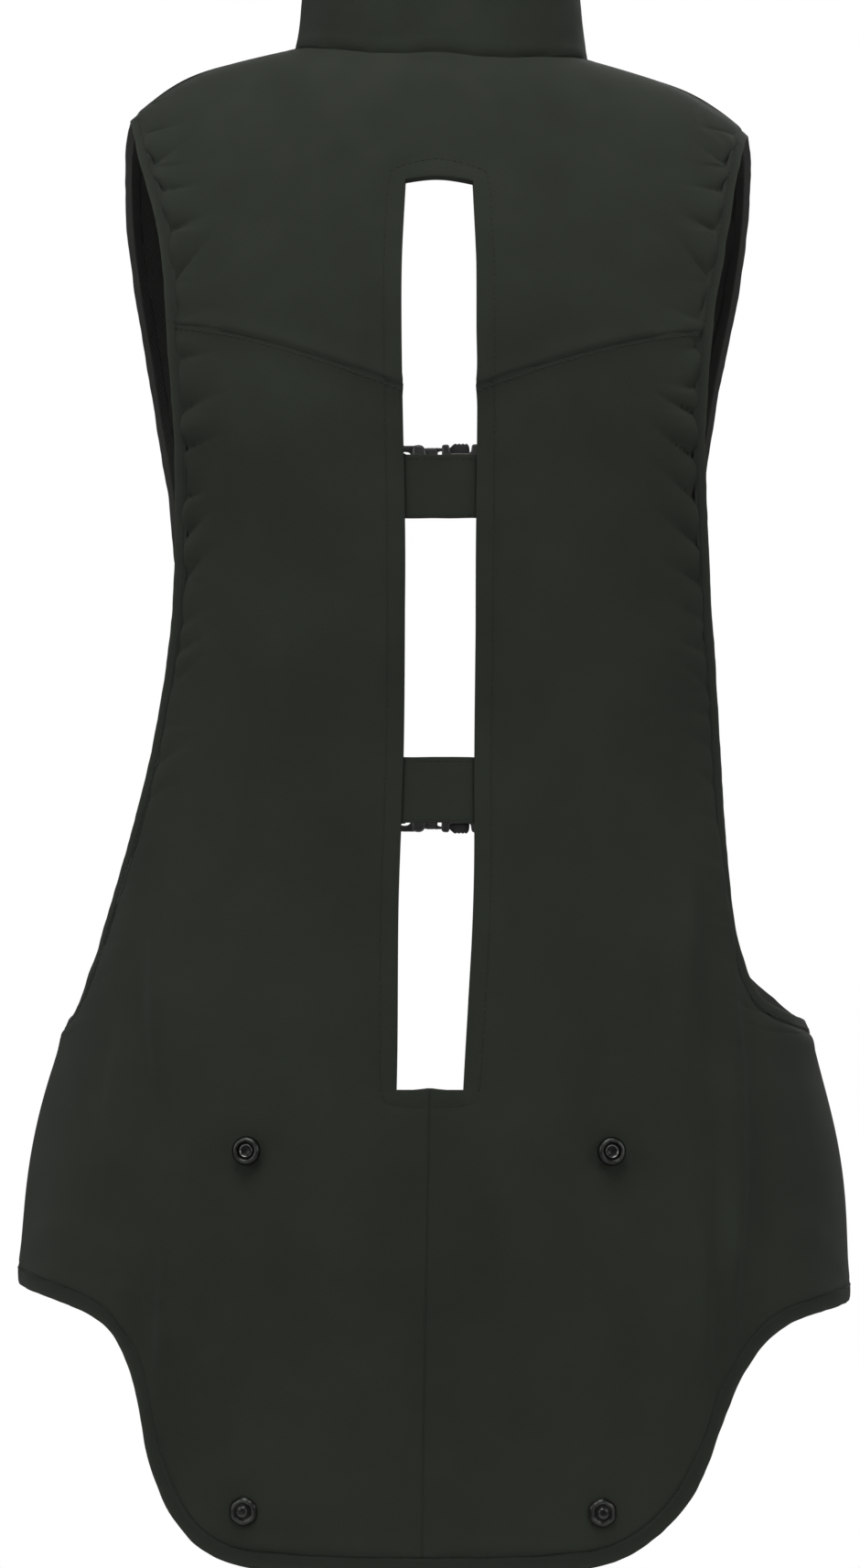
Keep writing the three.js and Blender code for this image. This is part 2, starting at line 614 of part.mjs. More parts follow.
// Snaps: turned pieces whose profiles run from the axis at the seat to the axis at the front.
const SOCKET_PROFILE = [
  { r: 0, h: 0 },
  { r: SNAP_RADIUS, h: 0 },
  { r: SNAP_RADIUS, h: 1.4 },
  { r: 6, h: SNAP_HEIGHT },
  { r: 4.3, h: SNAP_HEIGHT },
  { r: 3.5, h: 1.2 },
  { r: 0, h: 1.2 },
];
const STUD_PROFILE = [
  { r: 0, h: 0 },
  { r: SNAP_RADIUS, h: 0 },
  { r: SNAP_RADIUS, h: 1.3 },
  { r: 5.6, h: 2 },
  { r: 2.9, h: 2 },
  { r: 2.6, h: SNAP_HEIGHT },
  { r: 0, h: SNAP_HEIGHT },
];

/** Seat of a snap on the back, off the outer face. */
function snapSeat(side, { drop, reach }) {
  const { point, normal } = seat(onBody, turnTo(spineAt(drop) + side * reach, drop), drop);
  return { point: point.addScaledVector(normal, SEAM_GAP), normal };
}

function snap(side, place, profile) {
  const points = profile.map(({ r, h }) => new THREE.Vector2(r, h));
  const { point, normal } = snapSeat(side, place);
  const turn = new THREE.Quaternion().setFromUnitVectors(new THREE.Vector3(0, 1, 0), normal);
  const geometry = new THREE.LatheGeometry(points, SNAP_SIDES).applyQuaternion(turn);
  return joined([geometry.translate(...point.toArray())]);
}

// Buckles, drawn in plan with their length along X and their height along Z.

/** A solid for joining and cutting. */
function solid(geometry) {
  const plain = new THREE.BufferGeometry().setAttribute("position", geometry.getAttribute("position").clone());
  if (geometry.index) plain.setIndex(geometry.index.clone());
  const place = plain.getAttribute("position");
  const index = plain.index ? plain.index.array : place.array.map((_, k) => k).slice(0, place.count);
  const mesh = new Mesh({
    numProp: 3,
    vertProperties: new Float32Array(place.array),
    triVerts: new Uint32Array(index),
  });
  mesh.merge();
  return new Manifold(mesh);
}

/** Geometries joined into one solid, with others cut away. */
function joined(parts, cuts = []) {
  let whole = Manifold.union(parts.map(solid));
  if (cuts.length > 0) whole = whole.subtract(Manifold.union(cuts.map(solid)));
  const { vertProperties, triVerts, numProp } = whole.getMesh();
  const positions = [];
  for (let k = 0; k < vertProperties.length; k += numProp) positions.push(...vertProperties.subarray(k, k + 3));
  return outward(positions, Array.from(triVerts));
}

/** A box from its low and high corners. */
function block(low, high) {
  const size = high.map((value, k) => value - low[k]);
  const middle = high.map((value, k) => (value + low[k]) / 2);
  return new THREE.BoxGeometry(...size).translate(...middle);
}

/** A plate with rounded corners, in plan X by Z, centred in its thickness. */
function plate(x0, x1, halfHeight, thick, corner) {
  const shape = new THREE.Shape();
  shape.moveTo(x0 + corner, -halfHeight);
  shape.lineTo(x1 - corner, -halfHeight).absarc(x1 - corner, corner - halfHeight, corner, -Math.PI / 2, 0);
  shape.lineTo(x1, halfHeight - corner).absarc(x1 - corner, halfHeight - corner, corner, 0, Math.PI / 2);
  shape.lineTo(x0 + corner, halfHeight).absarc(x0 + corner, halfHeight - corner, corner, Math.PI / 2, Math.PI);
  shape.lineTo(x0, corner - halfHeight).absarc(x0 + corner, corner - halfHeight, corner, Math.PI, 1.5 * Math.PI);
  const depth = { depth: thick, bevelEnabled: false, curveSegments: 4 };
  return new THREE.ExtrudeGeometry(shape, depth).translate(0, 0, -thick / 2).rotateX(Math.PI / 2);
}

const BAR_THICK = 4;
const BAR_WIDTH = 3.5;
const WEB_WINDOW = 7;
const WEB_WINDOW_HALF = 13.5;
const PLUG_THICK = 5;
const PLUG_NECK = -10;
const SOCKET_MOUTH = -2;
const PRONG_HALF_SPREAD = 11;

function buckleWindow(side) {
  const far = side * (BUCKLE_HALF_LENGTH - BAR_WIDTH);
  const near = far - side * WEB_WINDOW;
  const [low, high] = [Math.min(far, near), Math.max(far, near)];
  return block([low, -20, -WEB_WINDOW_HALF], [high, 20, WEB_WINDOW_HALF]);
}

/** Cuts that leave only a thin bar at the webbing end. */
function barRelief(side) {
  const inner = side * (BUCKLE_HALF_LENGTH - BAR_WIDTH - WEB_WINDOW);
  const outer = side * (BUCKLE_HALF_LENGTH + 1);
  const [low, high] = [Math.min(inner, outer), Math.max(inner, outer)];
  return [1, -1].map((face) => {
    const [y0, y1] = face > 0 ? [BAR_THICK / 2, 20] : [-20, -BAR_THICK / 2];
    return block([low, y0, -WEB_WINDOW_HALF], [high, y1, WEB_WINDOW_HALF]);
  });
}

function bucklePlug() {
  const base = plate(-BUCKLE_HALF_LENGTH, PLUG_NECK, BUCKLE_HALF_HEIGHT - 1, BUCKLE_THICK - 1, 3);
  const guide = block([PLUG_NECK - 2, -PLUG_THICK / 2, -2], [10, PLUG_THICK / 2, 2]);
  const prongs = [1, -1].flatMap((face) => {
    const spread = (a, b) => [Math.min(face * a, face * b), Math.max(face * a, face * b)];
    const [z0, z1] = spread(PRONG_HALF_SPREAD - 2, PRONG_HALF_SPREAD + 2);
    const [b0, b1] = spread(PRONG_HALF_SPREAD, BUCKLE_HALF_HEIGHT);
    return [
      block([PLUG_NECK - 2, -PLUG_THICK / 2, z0], [13, PLUG_THICK / 2, z1]),
      block([3, -PLUG_THICK / 2, b0], [13, PLUG_THICK / 2, b1]),
    ];
  });
  return joined([base, guide, ...prongs], [buckleWindow(LEFT), ...barRelief(LEFT)]);
}

function buckleSocket() {
  const clear = 0.5;
  const shell = plate(SOCKET_MOUTH, BUCKLE_HALF_LENGTH, BUCKLE_HALF_HEIGHT - 1, BUCKLE_THICK, 3);
  const thick = PLUG_THICK / 2 + clear;
  const half = PRONG_HALF_SPREAD + 2 + clear;
  const hollow = block([SOCKET_MOUTH - 1, -thick, -half], [13 + clear, thick, half]);
  const windows = block([3 - clear, -thick, -BUCKLE_HALF_HEIGHT - 1], [13 + clear, thick, BUCKLE_HALF_HEIGHT + 1]);
  return joined([shell], [hollow, windows, buckleWindow(RIGHT), ...barRelief(RIGHT)]);
}

/** Middle of a buckle, in front of the front panels. */
function buckleMiddle(drop) {
  const { point } = seat(onFront, turnTo(FRONT_GAP_HALF, drop), drop - CHEST_DROP + ARCH_TAPE);
  return new THREE.Vector3(0, point.y + 2 * WEBBING_GAP + WEBBING_THICK + BAR_THICK / 2, -drop);
}

/** A piece of the closure tipped to lie along the chest at a drop. */
function tipped(geometry, drop) {
  const middle = buckleMiddle(drop);
  const chest = (at) => onFront(turnTo(2 * FRONT_GAP_HALF, at), at - CHEST_DROP + ARCH_TAPE).y;
  const slope = (chest(drop - WEBBING_HEIGHT / 2) - chest(drop + WEBBING_HEIGHT / 2)) / WEBBING_HEIGHT;
  return geometry.translate(0, -middle.y, drop).rotateX(-Math.atan(slope)).translate(0, middle.y, -drop);
}

/** Webbing from the front panel, round the buckle's bar and back over itself. */
function chestStrap(side, drop) {
  const tape = drop - CHEST_DROP + ARCH_TAPE;
  const { y } = buckleMiddle(drop);
  const lift = WEBBING_GAP + WEBBING_THICK / 2;
  const over = (reach, rise) => {
    const { point, normal } = seat(onFront, turnTo(reach, drop), tape);
    return new THREE.Vector2(point.x, point.y).addScaledVector(new THREE.Vector2(normal.x, normal.y), rise);
  };
  const bar = BUCKLE_HALF_LENGTH - BAR_WIDTH;
  const round = BAR_THICK / 2 + lift;
  const path = [96, 84, 72, 60, 48, 38].map((reach) => over(reach, lift));
  for (let angle = -90; angle >= -270; angle -= 30) {
    const turn = degToRad(angle);
    path.push(new THREE.Vector2(bar + round * Math.cos(turn), y + round * Math.sin(turn)));
  }
  path.push(...[34, 42, 52, 62].map((reach) => over(reach, lift + 2 * round - Math.max(0, reach - 30) * 0.14)));
  const offset = (amount) => path.map((point, k) => {
    const along = path[Math.min(k + 1, path.length - 1)].clone().sub(path[Math.max(k - 1, 0)]).normalize();
    return point.clone().add(new THREE.Vector2(-along.y, along.x).multiplyScalar(amount));
  });
  const outline = [...offset(WEBBING_THICK / 2), ...offset(-WEBBING_THICK / 2).reverse()];
  const shape = new THREE.Shape(outline.map((point) => new THREE.Vector2(side * point.x, point.y)));
  const depth = { depth: WEBBING_HEIGHT, bevelEnabled: false };
  return joined([new THREE.ExtrudeGeometry(shape, depth).translate(0, 0, -drop - WEBBING_HEIGHT / 2)]);
}

const vest = new THREE.Group();
vest.name = "airbag_vest";

function add(name, look, geometry) {
  geometry.computeVertexNormals();
  const material = new THREE.MeshStandardMaterial({ ...LOOKS[look], name: look });
  const mesh = new THREE.Mesh(geometry, material);
  mesh.name = name;
  vest.add(mesh);
}

add("back_yoke", "shell", yoke());
add("collar", "shell", collar());
for (const side of [LEFT, RIGHT]) {
  const name = sideName(side);
  add(`back_panel_${name}`, "shell", backPanel(side));
  add(`front_panel_${name}`, "shell", frontPanel(side));
  add(`front_lining_${name}`, "lining", frontLining(side));
  add(`armhole_binding_${name}`, "binding", armholeBinding(side));
  add(`snap_socket_${name}`, "metal", snap(side, UPPER_SNAP, SOCKET_PROFILE));
  add(`snap_stud_${name}`, "metal", snap(side, LOWER_SNAP, STUD_PROFILE));
}
add("hem_binding", "binding", hemBinding());
for (const strap of BRIDGES) add(strap.name, "shell", bridge(strap));
for (const [level, drop] of Object.entries(BUCKLE_DROPS)) {
  const middle = buckleMiddle(drop).toArray();
  add(`buckle_plug_${level}`, "plastic", tipped(bucklePlug().translate(...middle), drop));
  add(`buckle_socket_${level}`, "plastic", tipped(buckleSocket().translate(...middle), drop));
  for (const side of [LEFT, RIGHT]) {
    add(`chest_strap_${level}_${sideName(side)}`, "webbing", tipped(chestStrap(side, drop), drop));
  }
}

export default vest;
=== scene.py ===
"""Dresses the airbag vest: padded cloth panels, edge tapes, stitches, snaps, buckles and webbing.

Metres, in the frame's own axes: +Z up, +X to the wearer's right, +Y to the wearer's front.
"""

import json
import logging
import math
from collections.abc import Iterable, Iterator, Sequence
from contextlib import contextmanager
from dataclasses import dataclass, field
from enum import Enum

import bmesh
import bpy
import numpy as np
from mathutils import Matrix, Vector, noise
from mathutils.bvhtree import BVHTree
from mathutils.kdtree import KDTree


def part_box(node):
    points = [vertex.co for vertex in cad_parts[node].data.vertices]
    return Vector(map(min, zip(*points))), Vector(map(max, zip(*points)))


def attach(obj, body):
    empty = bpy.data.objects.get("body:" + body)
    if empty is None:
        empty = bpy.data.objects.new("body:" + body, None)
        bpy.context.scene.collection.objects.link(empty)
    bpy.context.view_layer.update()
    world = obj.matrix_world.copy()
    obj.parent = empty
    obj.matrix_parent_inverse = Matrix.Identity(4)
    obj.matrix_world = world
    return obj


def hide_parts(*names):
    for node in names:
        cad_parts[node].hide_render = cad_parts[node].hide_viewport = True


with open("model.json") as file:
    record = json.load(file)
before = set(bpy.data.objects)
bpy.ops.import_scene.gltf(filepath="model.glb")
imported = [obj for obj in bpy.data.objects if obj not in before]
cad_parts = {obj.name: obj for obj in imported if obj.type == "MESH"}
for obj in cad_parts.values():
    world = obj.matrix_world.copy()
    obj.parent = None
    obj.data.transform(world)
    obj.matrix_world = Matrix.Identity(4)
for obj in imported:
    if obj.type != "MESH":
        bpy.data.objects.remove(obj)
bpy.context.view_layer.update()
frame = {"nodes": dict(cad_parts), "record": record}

LOG = logging.getLogger("vest")
BODY = "root"
MM = 0.001
TAU = 2 * math.pi
CHEST_DROP = 178 * MM
SHARP_FOLD = math.radians(48)
SHARP_EDGE = math.radians(40)
SHARP_RING = math.radians(60)
WEAVE_UV = "weave"
# Vertex attribute of painted light: painted highlight on folded edges, painted shade in seams and slits, and
# on snaps wear with painted highlight.
PAINTED_LIGHT_AND_WEAR = "painted_light_and_wear"
FACING_WIDTH = 8.5 * MM
SHORTEST_FACING = 100 * MM
SEAM_GAP = 2 * MM
ROW_STEP = 1.5 * MM

Colour = tuple[float, float, float]
Points = np.ndarray


class Side(Enum):
    """The wearer's side that a piece is on."""

    LEFT = "left"
    RIGHT = "right"


class Face(Enum):
    """Order of the finishes on a padded piece."""

    SHELL = 0
    LINING = 1
    # The rounded seam edges, in the darker seam cloth: painted shade in the seam.
    SEAM = 2


# Shader arithmetic.


class Socket:
    """An output of a shader node that takes part in Python arithmetic."""

    def __init__(self, tree: "FinishTree", link: bpy.types.NodeSocket) -> None:
        """Keeps the socket and the tree that it belongs to."""
        self.tree = tree
        self.link = link

    def _math(self, operation: str, first: "Operand", second: "Operand" = 0.0) -> "Socket":
        """Adds a Math node on two values.

        Args:
            operation: The Math node's operation.
            first: The first value.
            second: The second value.

        Returns:
            The node's result.
        """
        return self.tree.node("ShaderNodeMath", {"operation": operation}, {0: first, 1: second})["Value"]

    def __add__(self, other: "Operand") -> "Socket":
        """Sum of two values."""
        return self._math("ADD", self, other)

    def __sub__(self, other: "Operand") -> "Socket":
        """This value less another."""
        return self._math("SUBTRACT", self, other)

    def __rsub__(self, other: "Operand") -> "Socket":
        """Another value less this one."""
        return self._math("SUBTRACT", other, self)

    def __mul__(self, other: "Operand") -> "Socket":
        """Product of two values."""
        return self._math("MULTIPLY", self, other)

    __radd__ = __add__
    __rmul__ = __mul__

    def sine(self) -> "Socket":
        """Sine of this value."""
        return self._math("SINE", self)

    def absolute(self) -> "Socket":
        """Size of this value without its sign."""
        return self._math("ABSOLUTE", self)


Operand = Socket | float


class FinishTree:
    """The node tree of one finish."""

    def __init__(self, name: str) -> None:
        """Starts an empty material of that name."""
        self.material = bpy.data.materials.new(name)
        self.material.use_nodes = True
        self.material.node_tree.nodes.clear()

    def node(self, kind: str, settings: dict | None = None, inputs: dict | None = None) -> "Outputs":
        """Adds any node.

        Args:
            kind: The node's type.
            settings: Its own properties, set first.
            inputs: Values or links of its sockets, by name or place.

        Returns:
            The node's outputs.
        """
        made = self.material.node_tree.nodes.new(kind)
        for key, value in (settings or {}).items():
            setattr(made, key, value)
        for key, value in (inputs or {}).items():
            if isinstance(value, Socket):
                self.material.node_tree.links.new(value.link, made.inputs[key])
            else:
                made.inputs[key].default_value = value
        return Outputs(self, made)

    def place(self) -> Socket:
        """Object coordinates, in metres."""
        return self.node("ShaderNodeTexCoord")["Object"]

    def noise(self, place: Socket, size: float, detail: float = 2.0) -> Socket:
        """Noise about zero, with lumps of about a size in metres."""
        made = self.node("ShaderNodeTexNoise", inputs={"Vector": place, "Scale": 1 / size, "Detail": detail})
        return made["Fac"] - 0.5

    def weave(self) -> tuple[Socket, Socket]:
        """Distances across and along the cloth, in metres."""
        uv = self.node("ShaderNodeUVMap", {"uv_map": WEAVE_UV})["UV"]
        split = self.node("ShaderNodeSeparateXYZ", inputs={0: uv})
        return split["X"], split["Y"]

    def painted_light_and_wear(self) -> Socket:
        """The painted light stored on the mesh: a painted highlight rising to 1 towards a tape's folded edge,
        painted shade falling to -1 in seams and slits, and on the snaps worn rings with painted highlight.
        """
        return self.node("ShaderNodeAttribute", {"attribute_name": PAINTED_LIGHT_AND_WEAR})["Fac"]

    def tinted(self, tint: Colour, shade: Socket) -> Socket:
        """A colour made lighter or darker by a share."""
        return self.node("ShaderNodeVectorMath", {"operation": "SCALE"}, {0: tint, "Scale": shade})["Vector"]

    def bump(self, height: Socket, depth: float, strength: float = 1.0) -> Socket:
        """Normal of a relief of a depth in metres."""
        inputs = {"Height": height, "Distance": depth, "Strength": strength}
        return self.node("ShaderNodeBump", inputs=inputs)["Normal"]

    def surface(self, inputs: dict) -> bpy.types.Material:
        """Closes the tree.

        Args:
            inputs: Values and links of the surface's sockets.

        Returns:
            The finished material.
        """
        shader = self.node("ShaderNodeBsdfPrincipled", inputs=inputs)["BSDF"]
        self.node("ShaderNodeOutputMaterial", inputs={"Surface": shader})
        return self.material


class Outputs:
    """The outputs of one node."""

    def __init__(self, tree: FinishTree, made: bpy.types.Node) -> None:
        """Keeps the node and its tree."""
        self.tree = tree
        self.made = made

    def __getitem__(self, key: str) -> Socket:
        """The output of that name."""
        return Socket(self.tree, self.made.outputs[key])


# Finishes.


@dataclass(frozen=True)
class WovenCloth:
    """Matt softshell cloth: a fine plain weave, slight clouding, and painted light from the mesh: a painted
    highlight along folded edges and painted shade in seams and slits.
    """

    name: str
    tint: Colour
    thread: float = 0.55 * MM
    cloud: float = 0.55
    edge_light: float = 0.35
    sheen: float = 0.03

    def make(self) -> bpy.types.Material:
        """Builds the material."""
        tree = FinishTree(self.name)
        place = tree.place()
        across, along = tree.weave()
        weave = (across * (TAU / self.thread)).sine() * (along * (TAU / self.thread)).sine()
        slub = tree.noise(place, 1.6 * MM, 4)
        cloud = tree.noise(place, 85 * MM, 3) + tree.noise(place, 22 * MM, 2) * 0.5
        # Painted light: the stored attribute, scaled by edge_light, lightens folded edges as painted
        # highlight and darkens seams and slits as painted shade.
        shade = 1 + cloud * self.cloud + slub * 0.2 + weave * 0.05 + tree.painted_light_and_wear() * self.edge_light
        relief = weave * 0.6 + slub
        return tree.surface({
            "Base Color": tree.tinted(self.tint, shade),
            "Roughness": 0.86 + slub * 0.12,
            "Normal": tree.bump(relief, 0.16 * MM, 0.7),
            "Specular IOR Level": 0.16,
            "Sheen Weight": self.sheen,
            "Sheen Roughness": 0.45,
        })


@dataclass(frozen=True)
class KnitLining:
    """Dark knitted mesh with small open cells."""

    name: str
    tint: Colour
    cell: float = 1.5 * MM

    def make(self) -> bpy.types.Material:
        """Builds the material."""
        tree = FinishTree(self.name)
        across, along = tree.weave()
        lean = (across * (TAU / self.cell) + along * (math.pi / self.cell)).sine()
        row = (along * (TAU / self.cell)).sine()
        cells = lean * row
        cloud = tree.noise(tree.place(), 60 * MM, 3)
        return tree.surface({
            "Base Color": tree.tinted(self.tint, 1 + cells * 0.25 + cloud * 0.5),
            "Roughness": 0.9 + cells * 0.06,
            "Normal": tree.bump(cells, 0.3 * MM, 0.8),
            "Specular IOR Level": 0.2,
        })


@dataclass(frozen=True)
class RibbedWebbing:
    """Woven strap with ribs along its length."""

    name: str
    tint: Colour
    rib: float = 1.5 * MM

    def make(self) -> bpy.types.Material:
        """Builds the material."""
        tree = FinishTree(self.name)
        across, along = tree.weave()
        ribs = (along * (TAU / self.rib)).sine().absolute()
        picks = (across * (TAU / (0.8 * MM))).sine()
        slub = tree.noise(tree.place(), 3 * MM, 3)
        return tree.surface({
            "Base Color": tree.tinted(self.tint, 0.8 + ribs * 0.3 + picks * 0.1 + slub * 0.4),
            "Roughness": 0.72 + slub * 0.2,
            "Normal": tree.bump(ribs + picks * 0.35, 0.28 * MM, 0.9),
            "Specular IOR Level": 0.35,
        })


@dataclass(frozen=True)
class SewingThread:
    """Twisted thread."""

    name: str
    tint: Colour

    def make(self) -> bpy.types.Material:
        """Builds the material."""
        tree = FinishTree(self.name)
        twist = tree.noise(tree.place(), 0.4 * MM, 2)
        return tree.surface({
            "Base Color": tree.tinted(self.tint, 1 + twist * 0.5),
            "Roughness": 0.62 + twist * 0.2,
            "Specular IOR Level": 0.4,
        })


@dataclass(frozen=True)
class MouldedPlastic:
    """Dark plastic with a fine spark-eroded grain."""

    name: str
    tint: Colour

    def make(self) -> bpy.types.Material:
        """Builds the material."""
        tree = FinishTree(self.name)
        place = tree.place()
        grain = tree.noise(place, 0.7 * MM, 2)
        smear = tree.noise(place, 12 * MM, 3)
        return tree.surface({
            "Base Color": tree.tinted(self.tint, 1 + smear * 0.3),
            "Roughness": 0.36 + smear * 0.2 + grain * 0.1,
            "Normal": tree.bump(grain, 0.08 * MM, 0.6),
            "Specular IOR Level": 0.55,
        })


@dataclass(frozen=True)
class LacqueredMetal:
    """Dark lacquered brass, paler on its raised rings: partly where handling has polished them, partly
    painted highlight where they catch the light.
    """

    name: str
    tint: Colour
    polish_and_highlight: Colour

    def make(self) -> bpy.types.Material:
        """Builds the material."""
        tree = FinishTree(self.name)
        place = tree.place()
        scuff = tree.noise(place, 2.5 * MM, 4)
        # Partly painted highlight: the paler metal on the rings stands in for their highlights as well as for
        # wear.
        worn_and_highlit = tree.node("ShaderNodeMath", {"operation": "MULTIPLY_ADD", "use_clamp": True},
                         {0: tree.painted_light_and_wear() + scuff * 0.5, 1: 0.9, 2: -0.12})["Value"]
        mixed = tree.node("ShaderNodeMix", {"data_type": "RGBA"},
                          {0: worn_and_highlit, 6: (*self.tint, 1), 7: (*self.polish_and_highlight, 1)})
        colour = Socket(tree, mixed.made.outputs[2])
        return tree.surface({
            "Base Color": colour,
            "Metallic": 0.9,
            "Roughness": 0.34 + scuff * 0.3 - worn_and_highlit * 0.08,
            "Normal": tree.bump(scuff, 0.05 * MM, 0.5),
        })


# The shell's edge_light darkens it by the painted shade stored in its seams and slits.
SHELL = WovenCloth("shell_cloth", (0.0202, 0.0247, 0.0179), edge_light=0.95)
# A darker copy of the shell cloth for the rounded seam edges: painted shade in the seam groove.
SEAM_SHADE = WovenCloth("seam_shade_cloth", (0.0042, 0.005, 0.0038))
# The tape's edge_light lightens it by the painted highlight stored along its fold.
TAPE = WovenCloth("edge_tape", (0.0175, 0.021, 0.0157), thread=0.8 * MM, cloud=0.14, edge_light=1.0)
LINING = KnitLining("mesh_lining", (0.035, 0.0355, 0.033))
WEBBING = RibbedWebbing("strap_webbing", (0.0125, 0.013, 0.012))
THREAD = SewingThread("sewing_thread", (0.0062, 0.007, 0.0056))
PLASTIC = MouldedPlastic("buckle_plastic", (0.045, 0.0455, 0.045))
METAL = LacqueredMetal("snap_metal", (0.02, 0.0215, 0.0195), (0.24, 0.255, 0.235))
Finish = WovenCloth | KnitLining | RibbedWebbing | SewingThread | MouldedPlastic | LacqueredMetal


def finish_of(finish: Finish) -> bpy.types.Material:
    """The finish's material, made once."""
    return bpy.data.materials.get(finish.name) or finish.make()


# Mesh tools.


def vectors(items: bpy.types.bpy_prop_collection, key: str) -> Points:
    """One vector property of all items."""
    flat = np.zeros(3 * len(items), np.float32)
    items.foreach_get(key, flat)
    return flat.reshape(-1, 3).astype(float)


def numbers(items: bpy.types.bpy_prop_collection, key: str, width: int = 1) -> np.ndarray:
    """One whole-number property of all items, with a number of values for each."""
    flat = np.zeros(width * len(items), np.int32)
    items.foreach_get(key, flat)
    return flat


def points_of(mesh: bpy.types.Mesh) -> Points:
    """Vertices of a mesh."""
    return vectors(mesh.vertices, "co")


def surface_of(piece: bpy.types.Object) -> tuple[Points, Points]:
    """Vertices and vertex normals of a piece."""
    return points_of(piece.data), vectors(piece.data.vertex_normals, "vector")


def put_points(mesh: bpy.types.Mesh, points: Points) -> None:
    """Moves the vertices of a mesh."""
    mesh.vertices.foreach_set("co", points.astype(np.float32).ravel())
    mesh.update()


def outwardness(points: Points, normals: Points) -> np.ndarray:
    """How far each normal points off the body, from -1 to 1."""
    core = np.zeros_like(points)
    core[:, 2] = np.minimum(points[:, 2], -CHEST_DROP)
    away = points - core
    away /= np.maximum(np.linalg.norm(away, axis=1, keepdims=True), 1e-9)
    return (normals * away).sum(1)


def outer_share(points: Points, normals: Points) -> np.ndarray:
    """1 on the outer face, falling to 0 on walls and inside."""
    return np.clip(outwardness(points, normals) * 2, 0, 1)


def tree_of(names: Iterable[str]) -> BVHTree:
    """Search tree of the solids of some nodes."""
    points: list = []
    faces: list = []
    for name in names:
        mesh = frame["nodes"][name].data
        start = len(points)
        points += [vertex.co.copy() for vertex in mesh.vertices]
        faces += [[start + k for k in face.vertices] for face in mesh.polygons]
    return BVHTree.FromPolygons(points, faces)


def reach_to(tree: BVHTree, points: Points, limit: float) -> np.ndarray:
    """Distance of each point from a surface, at most the limit."""
    found = (tree.find_nearest(point, limit)[3] for point in map(Vector, points))
    return np.array([limit if far is None else far for far in found])


def way_to(tree: BVHTree, points: Points, limit: float) -> tuple[np.ndarray, Points]:
    """Distance and direction of a surface from each point.

    Args:
        tree: The surface's search tree.
        points: The points.
        limit: The longest distance that counts.

    Returns:
        The distances, at most the limit, and unit vectors, zero past the limit.
    """
    far, way = np.full(len(points), limit), np.zeros_like(points)
    for k, point in enumerate(map(Vector, points)):
        place, _, _, distance = tree.find_nearest(point, limit)
        if place is not None:
            far[k] = distance
            way[k] = (place - point) / max(distance, 1e-9)
    return far, way


def nearest(cloud: Points, points: Points) -> np.ndarray:
    """Distance of each point from a cloud of points."""
    tree = KDTree(len(cloud))
    for k, place in enumerate(cloud):
        tree.insert(place, k)
    tree.balance()
    return np.array([tree.find(point)[2] for point in points])


def add_object(name: str, data: bpy.types.ID) -> bpy.types.Object:
    """A new object in the scene."""
    made = bpy.data.objects.new(name, data)
    bpy.context.scene.collection.objects.link(made)
    return made


@contextmanager
def editing(mesh: bpy.types.Mesh) -> Iterator[bmesh.types.BMesh]:
    """An editable form of a mesh, written back at the end."""
    form = bmesh.new()
    form.from_mesh(mesh)
    yield form
    form.to_mesh(mesh)
    form.free()


def quad_copy(node: str, name: str) -> bpy.types.Object:
    """A merged copy of a node, with its triangles joined to quads.

    Args:
        node: The node's name.
        name: The new piece's name.

    Returns:
        The new piece, with no finish yet.
    """
    mesh = frame["nodes"][node].data.copy()
    mesh.name = name
    mesh.materials.clear()
    with editing(mesh) as form:
        bmesh.ops.remove_doubles(form, verts=form.verts, dist=0.01 * MM)
        bmesh.ops.join_triangles(form, faces=form.faces, angle_face_threshold=math.radians(50),
                                 angle_shape_threshold=math.pi, topology_influence=1.0)
    return add_object(name, mesh)


def crease(piece: bpy.types.Object, hardness: float) -> None:
    """Keeps the piece's sharp edges under subdivision, by a hardness from 0 to 1."""
    with editing(piece.data) as form:
        layer = form.edges.layers.float.new("crease_edge")
        for edge in form.edges:
            if edge.calc_face_angle(0) > SHARP_FOLD:
                edge[layer] = hardness


def settle(piece: bpy.types.Object) -> None:
    """Makes the piece's modifiers part of its mesh."""
    graph = bpy.context.evaluated_depsgraph_get()
    mesh = bpy.data.meshes.new_from_object(
        piece.evaluated_get(graph), preserve_all_data_layers=True, depsgraph=graph)
    old = piece.data
    piece.modifiers.clear()
    piece.data = mesh
    bpy.data.meshes.remove(old)
    mesh.name = piece.name


def subdivide(piece: bpy.types.Object, levels: int) -> None:
    """Subdivides the piece's mesh for good."""
    smooth = piece.modifiers.new("smooth", "SUBSURF")
    smooth.levels = smooth.render_levels = levels
    settle(piece)


def smooth_copy(node: str, name: str, hardness: float,
                levels: int) -> tuple[bpy.types.Object, list["ClothEdge"]]:
    """A subdivided copy of a node.

    Args:
        node: The node's name.
        name: The new piece's name.
        hardness: How well its sharp edges keep, from 0 to 1.
        levels: Number of subdivisions.

    Returns:
        The new piece, and the runs along its rims.
    """
    piece = quad_copy(node, name)
    rims = rim_runs(piece.data)
    crease(piece, hardness)
    subdivide(piece, levels)
    return piece, rims


